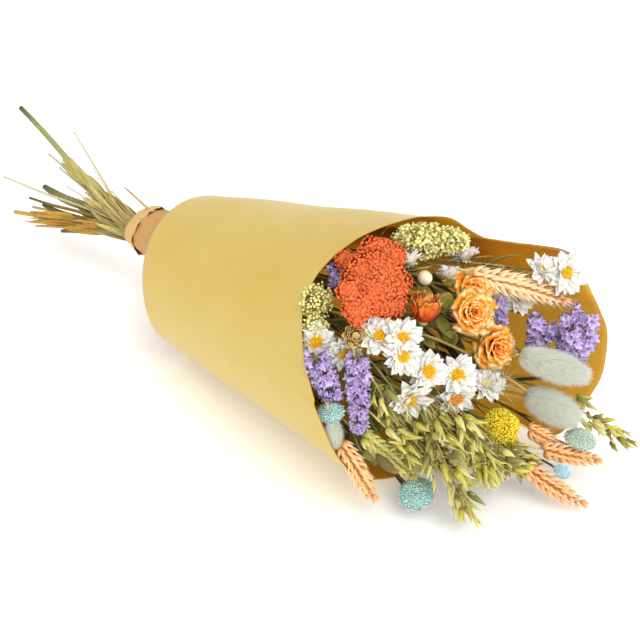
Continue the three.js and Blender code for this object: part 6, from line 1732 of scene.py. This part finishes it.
FOLIAGE = (
    ([68.5, 11.3, 48.0], [0.49, 0.16, -0.86], 25.8), ([81.2, -0.2, 45.8], [0.77, 0.49, -0.42], 24.8),
    ([86.7, -2.4, 45.3], [0.54, 0.38, -0.75], 28.8), ([92.2, -9.1, 42.1], [0.69, 0.1, -0.72], 20.8),
    ([100.9, -5.8, 45.8], [0.51, -0.06, -0.86], 27.4), ([105.8, -11.5, 44.1], [0.64, 0.66, -0.39], 22.5),
    ([101.6, -4.7, 39.0], [0.54, 0.83, -0.12], 28.5), ([118.1, -27.6, 51.4], [0.44, 0.18, -0.88], 24.0),
    ([121.6, -22.1, 48.7], [0.39, 0.1, -0.92], 25.3), ([103.9, -3.9, 38.5], [0.68, 0.25, -0.69], 31.1),
    ([112.2, -5.3, 41.9], [0.75, 0.26, -0.61], 30.5), ([113.6, -17.6, 35.2], [0.53, -0.22, -0.82], 23.8),
    ([134.5, -33.3, 49.0], [0.6, -0.0, -0.8], 26.5), ([122.1, -16.7, 34.4], [0.58, 0.48, -0.65], 24.4),
    ([139.4, -26.6, 49.8], [0.74, 0.29, -0.6], 25.2), ([133.7, -42.3, 45.5], [0.49, -0.24, -0.84], 23.4),
    ([151.9, -35.8, 44.9], [0.67, 0.55, -0.5], 22.4), ([149.2, -34.8, 44.7], [0.39, 0.09, -0.92], 22.0),
    ([115.2, -50.0, 38.0], [0.71, 0.21, -0.67], 17.5), ([129.1, -60.9, 46.2], [0.67, 0.27, -0.69], 25.9),
    ([142.0, -67.3, 46.7], [0.78, 0.5, -0.37], 21.4), ([128.0, -59.8, 39.0], [0.54, 0.06, -0.84], 19.0),
    ([143.9, -69.9, 41.6], [0.76, 0.31, -0.57], 16.0), ([148.7, -61.7, 44.4], [0.61, 0.17, -0.78], 22.1),
    ([165.0, -75.5, 47.0], [0.72, 0.59, -0.36], 21.9), ([176.9, -74.8, 51.8], [0.57, 0.48, -0.67], 20.2),
    ([170.5, -57.0, 42.1], [0.62, 0.35, -0.71], 21.5), ([171.2, -32.1, 50.0], [0.7, 0.11, -0.71], 21.2),
    ([172.4, -27.6, 47.5], [0.7, 0.12, -0.7], 26.1), ([185.0, -30.3, 49.2], [0.61, 0.07, -0.79], 22.4),
    ([190.0, -30.1, 40.7], [0.6, 0.4, -0.69], 16.7), ([189.1, -39.4, 48.7], [0.61, 0.24, -0.76], 20.4),
    ([174.8, -35.2, 40.7], [0.59, 0.54, -0.6], 22.7), ([176.3, -37.6, 43.5], [0.57, -0.08, -0.82], 21.1),
    ([179.7, -55.5, 44.2], [0.8, 0.39, -0.45], 21.0), ([198.8, -32.2, 40.8], [0.65, -0.04, -0.76], 14.2),
    ([192.8, -31.4, 38.9], [0.39, -0.02, -0.92], 13.8),
)

# dark leaves deep between the stems, whose dark colour partly paints the shade there
SHADE_LEAVES = (
    ([60.8, 59.1, 81.5], [0.58, 0.81, 0.12], 25.1), ([74.3, 54.8, 93.8], [0.49, 0.87, -0.01], 23.0),
    ([94.0, 49.7, 110.8], [0.78, 0.41, -0.47], 19.7), ([102.7, 51.4, 110.9], [0.62, 0.39, -0.68], 22.1),
    ([93.4, 68.4, 88.4], [0.63, 0.77, -0.11], 20.1), ([114.0, 56.5, 98.3], [0.63, 0.25, -0.74], 21.5),
    ([91.0, 63.5, 75.4], [0.74, 0.66, -0.1], 26.2), ([87.5, 61.9, 69.7], [0.71, 0.53, -0.46], 28.5),
    ([96.7, 40.3, 68.6], [0.75, 0.56, -0.36], 29.5), ([94.0, 35.5, 74.3], [0.67, 0.57, -0.47], 25.7),
    ([73.0, 50.1, 51.4], [0.62, 0.69, -0.37], 23.5), ([71.6, 44.0, 44.4], [0.8, 0.53, -0.29], 29.1),
    ([98.2, 31.4, 59.2], [0.76, 0.51, -0.4], 25.9), ([95.1, 49.4, 50.4], [0.79, 0.48, -0.38], 22.8),
    ([100.7, 55.2, 55.0], [0.68, 0.47, -0.56], 27.1), ([123.8, 46.7, 72.6], [0.64, 0.24, -0.73], 23.8),
    ([131.1, 40.6, 69.6], [0.75, 0.34, -0.56], 28.2), ([124.2, 38.2, 62.1], [0.67, 0.37, -0.64], 29.8),
    ([123.3, 25.8, 57.2], [0.74, 0.64, -0.2], 23.9), ([104.1, 30.2, 47.4], [0.59, 0.75, -0.28], 27.7),
    ([92.4, 33.4, 46.3], [0.79, 0.51, -0.34], 22.4), ([132.2, 46.2, 54.7], [0.77, 0.62, -0.14], 26.0),
    ([140.1, 38.2, 61.0], [0.74, 0.29, -0.61], 24.8), ([102.8, 58.6, 66.4], [0.68, 0.41, -0.61], 24.6),
    ([110.6, 61.8, 76.0], [0.75, 0.32, -0.58], 21.6), ([88.3, 63.5, 86.1], [0.81, 0.39, -0.44], 19.4),
    ([84.7, 54.3, 72.5], [0.68, 0.5, -0.53], 17.7), ([65.7, 57.2, 68.3], [0.66, -0.1, -0.75], 19.8),
    ([66.1, 49.6, 57.0], [0.73, 0.28, -0.63], 23.6), ([148.6, 43.6, 58.1], [0.68, 0.32, -0.66], 21.2),
    ([156.6, 44.3, 57.3], [0.75, 0.25, -0.62], 23.0), ([135.7, 35.3, 49.8], [0.72, 0.56, -0.41], 23.5),
)


def n_oats():
    spec = {'oat_left': (28, 14, .7, None), 'oat_front_left': (36, 15, .75, 'rootlet'), 'oat_front_long': (46, 16, .55, 'orange_stem'), 'oat_centre': (44, 16, .75, 'sheath'), 'oat_right_low': (30, 15, .75, None), 'oat_far_right': (28, 14, .6, None)}
    for name, (n, size, out, tail) in spec.items():
        mats = ['oat', 'oat_stalk', 'leaf_dark', 'oat_pale', 'oat_green'] + ([tail] if tail else [])
        row, rg, b, P = start(name, mats, 'oat_stalk', [1.5], .95, .75, 3, 'leaf_dark', tail)
        h = row['heads'][0]
        oats(b, h['at'], h['dir'], h['r'] * 1.25, h['len'], rg, n, (0, 3, 0, 4, 3), 1, size, 1.0, .2, out, clear=clear)
        if name in LOOSE:
            n2, A, B, L2, sz2 = LOOSE[name]
            A, B = np.array(A, float), np.array(B, float)
            tp = oat_tpls(rg)
            for q in range(n2):
                s_, w_ = rg.rand(), rg.rand() ** 1.15
                dd = unit(np.array(DD[name]) + rg.uniform(-.2, .2, 3))
                p = A + (B - A) * s_ + dd * L2 * w_ + rg.normal(0, 3.2, 3)
                dr = unit(dd + rg.uniform(-.85, .85, 3))
                if clear(p + dr * sz2 * .5):
                    continue
                root = p - dd * rg.uniform(14, 30) - dr * 4 + [-6, 0, 3]
                b.add(tube(bezier(root, root + dd * 8, p - dr * 4, p, 7), [.5, .46, .42, .38, .32, .28, .24], 4), 1, rg.uniform(.2, .8))
                spikelet(b, p, dr, unit(np.cross(dr, rg.normal(size=3))), sz2 * rg.uniform(.75, 1.15), rg, tp, (0, 3, 4), 1, rg.uniform(.1, .45))
        if name in ('oat_left', 'oat_front_long'):
            # broad and narrow leaves low in the bunch, on thin stalks from the oat stem
            for q, (p, dd, L2) in enumerate(FOLIAGE[:27] if name == 'oat_left' else FOLIAGE[27:]):
                p, dd = np.array(p), np.array(dd)
                k = int(np.argmin(np.linalg.norm(P - (p - dd * 26 - [14, 0, 0]), axis=1)))
                b.add(tube(bezier(P[k], P[k] + unit(P[min(k + 1, len(P) - 1)] - P[k - 1]) * 8, p - dd * 9, p + dd, 9), np.linspace(.5, .36, 9), 5), 1, rg.uniform(.2, .8))
                tpl = BROAD[q % 3] if q % 3 else petal(.24, 6, 12, 'blade', .6, .06, rg.uniform(-.2, .3), .3, .015, 2, q, .012, rg.uniform(-.5, .5))
                leaf(b, p, dd, TO_CAM + rg.normal(0, .35, 3), L2, tpl, mats.index(('leaf_green', 'leaf_dark', 'leaf_green', 'oat_green')[q % 4]), rg.uniform(.15, .85))
        if tail == 'orange_stem':
            T, rr = row['tailpath'], row['tailr']
            strips(b, T, rr, rg, (5, 5, mats.index('leaf_straw'), 5, mats.index('leaf_green'), 5, 5), 24, 54, .105, .0, .56, UPV * -.75 + TO_CAM * .45, 4.5)
            for q in range(9):
                k = rg.randint(int(len(T) * .35), len(T) - 3)
                F = basis_z(unit(T[k + 1] - T[k]))[0]; a = rg.uniform(0, 6.28)
                o = F[:, 0] * math.cos(a) + F[:, 1] * math.sin(a)
                curl(b, T[k] + o * rr[k] * .8, (T[k + 1] - T[k]) * rg.choice([-1, 1]) + o * .8, rg.uniform(8, 20), rg, 5, .28, rg.uniform(.3, .8))
        if tail == 'rootlet':
            T, rr = row['tailpath'], row['tailr']
            for q in range(4):
                k = int(len(T) * (.5 + .12 * q))
                curl(b, T[k], unit(T[-1] - T[k - 1]) + rg.uniform(-.5, .5, 3), rg.uniform(18, 34), rg, 5, .4, rg.uniform(.5, 1.2))
        if tail == 'sheath':
            T, rr = row['tailpath'], row['tailr']
            sheath_leaves(b, T, rr, rg, 5, 3, 40, .08, .2, .6)
        finish(name, b, mats, row)


def n_rounds():
    mats = ['yellow', 'bract', 'stalk_green', 'leaf_dark']
    row, rg, b, P = start('yellow_globe', mats, 'stalk_green', [10.6], 1.05, .8, 2, 'leaf_dark')
    h = row['heads'][0]
    globe(b, h['at'], h['dir'], h['r'] * 1.06, rg, 560, 0, 1)
    globe(b, [209, 20.3, 34.5], [.8, .1, -.5], 5.2, rg, 170, 0, 1)
    finish('yellow_globe', b, mats, row)
    for name, m, n, lobe, hk, tail, tilt, rt in (('button_left', 'turquoise', 210, .25, 1.2, None, .85, -.1), ('button_front', 'turquoise', 300, .2, 1.25, 'olive_fat', .75, -.25), ('button_right', 'turquoise_grey', 280, .15, 1.2, None, 1.0, .1), ('button_right_low', 'turquoise_blue', 130, 0, 1.1, None, .7, .1)):
        mats = [m, 'cup_grey', 'stalk_brown', 'leaf_dark'] + ([tail] if tail else [])
        row, rg, b, P = start(name, mats, 'stalk_brown', [ROW[name]['heads'][0]['r'] * .5], 1.0, .75, 2, 'leaf_dark', tail)
        h = row['heads'][0]
        button(b, h['at'], unit(TO_CAM * math.cos(tilt) + UPV * math.sin(tilt) + RIGHTV * rt), h['r'] * 1.06, h['h'] * hk, rg, n, 0, 1, lobe)
        finish(name, b, mats, row)


sleeve(); collar(); tie()
n_yarrow_large(); n_yarrow_small(); n_buds(); n_daisies(); n_small_heads(); n_roses(); n_statice(); n_wheat(); n_harestails(); n_oats(); n_rounds()


# ------------------------------------------------------------------ stage, light, camera
def floor():
    n = 12
    g = np.linspace(-6, 6, n + 1)
    X, Y = np.meshgrid(g, g)
    V = [(float(a), float(c), -.0003) for a, c in zip(X.ravel(), Y.ravel())]
    F = [(r * (n + 1) + c, r * (n + 1) + c + 1, (r + 1) * (n + 1) + c + 1, (r + 1) * (n + 1) + c) for r in range(n) for c in range(n)]
    me = bpy.data.meshes.new('floor')
    me.from_pydata(V, [], F)
    o = bpy.data.objects.new('floor', me)
    m, nt, p = material('floor_white', .9, .1)
    c = mixed(nt, (250, 250, 249), (246, 246, 245), ramp_val(nt, noise(nt, 3, 2), [(.4, 0), (.6, 1)]))
    nt.links.new(c, p.inputs['Base Color'])
    p.inputs['Emission Color'].default_value = (1, 1, .99, 1)
    p.inputs['Emission Strength'].default_value = .22
    me.materials.append(m)
    bpy.context.scene.collection.objects.link(o)


AZ, EL, FPX = math.radians(48.1), math.radians(28.0), 1300.0
BACK = np.array([math.sin(AZ) * math.cos(EL), -math.cos(AZ) * math.cos(EL), math.sin(EL)])
RIGHT = np.array([math.cos(AZ), math.sin(AZ), 0.0])
UP = np.cross(BACK, RIGHT)
EYE = (np.array([669.097, -564.188, 516.790]) + SHIFT) / 1000


def place(o, at, x, y, z):
    from mathutils import Matrix
    o.matrix_world = Matrix([[x[0], y[0], z[0], at[0]], [x[1], y[1], z[1], at[1]], [x[2], y[2], z[2], at[2]], [0, 0, 0, 1]])


floor()
world = bpy.data.worlds.new('studio')
world.use_nodes = True
bg = world.node_tree.nodes['Background']
bg.inputs['Color'].default_value = (1, 1, 1, 1)
bg.inputs['Strength'].default_value = .74
bpy.context.scene.world = world


def sun(name, toward, strength, angle, color=(1, 1, 1)):
    d = unit(np.array(toward, float))
    l = bpy.data.lights.new(name, 'SUN')
    l.energy, l.angle, l.color = strength, math.radians(angle), color
    o = bpy.data.objects.new(name, l)
    bpy.context.scene.collection.objects.link(o)
    F = basis_z(d)[0]
    place(o, d * 3, F[:, 0], F[:, 1], F[:, 2])


sun('key', [.62, -.22, .75], 1.5, 40, (1, .992, .975))
sun('front', [.88, -.44, .06], .98, 50)
sun('top', [-.25, .45, .86], .3, 60)

cam = bpy.data.cameras.new('camera')
cam.sensor_width, cam.lens = 36.0, FPX / 640 * 36.0
cam.clip_start, cam.clip_end = .05, 30
co = bpy.data.objects.new('camera', cam)
bpy.context.scene.collection.objects.link(co)
place(co, EYE, RIGHT, UP, BACK)
bpy.context.scene.camera = co
bpy.context.scene.view_settings.view_transform = 'Standard'
bpy.context.scene.view_settings.look = 'None'
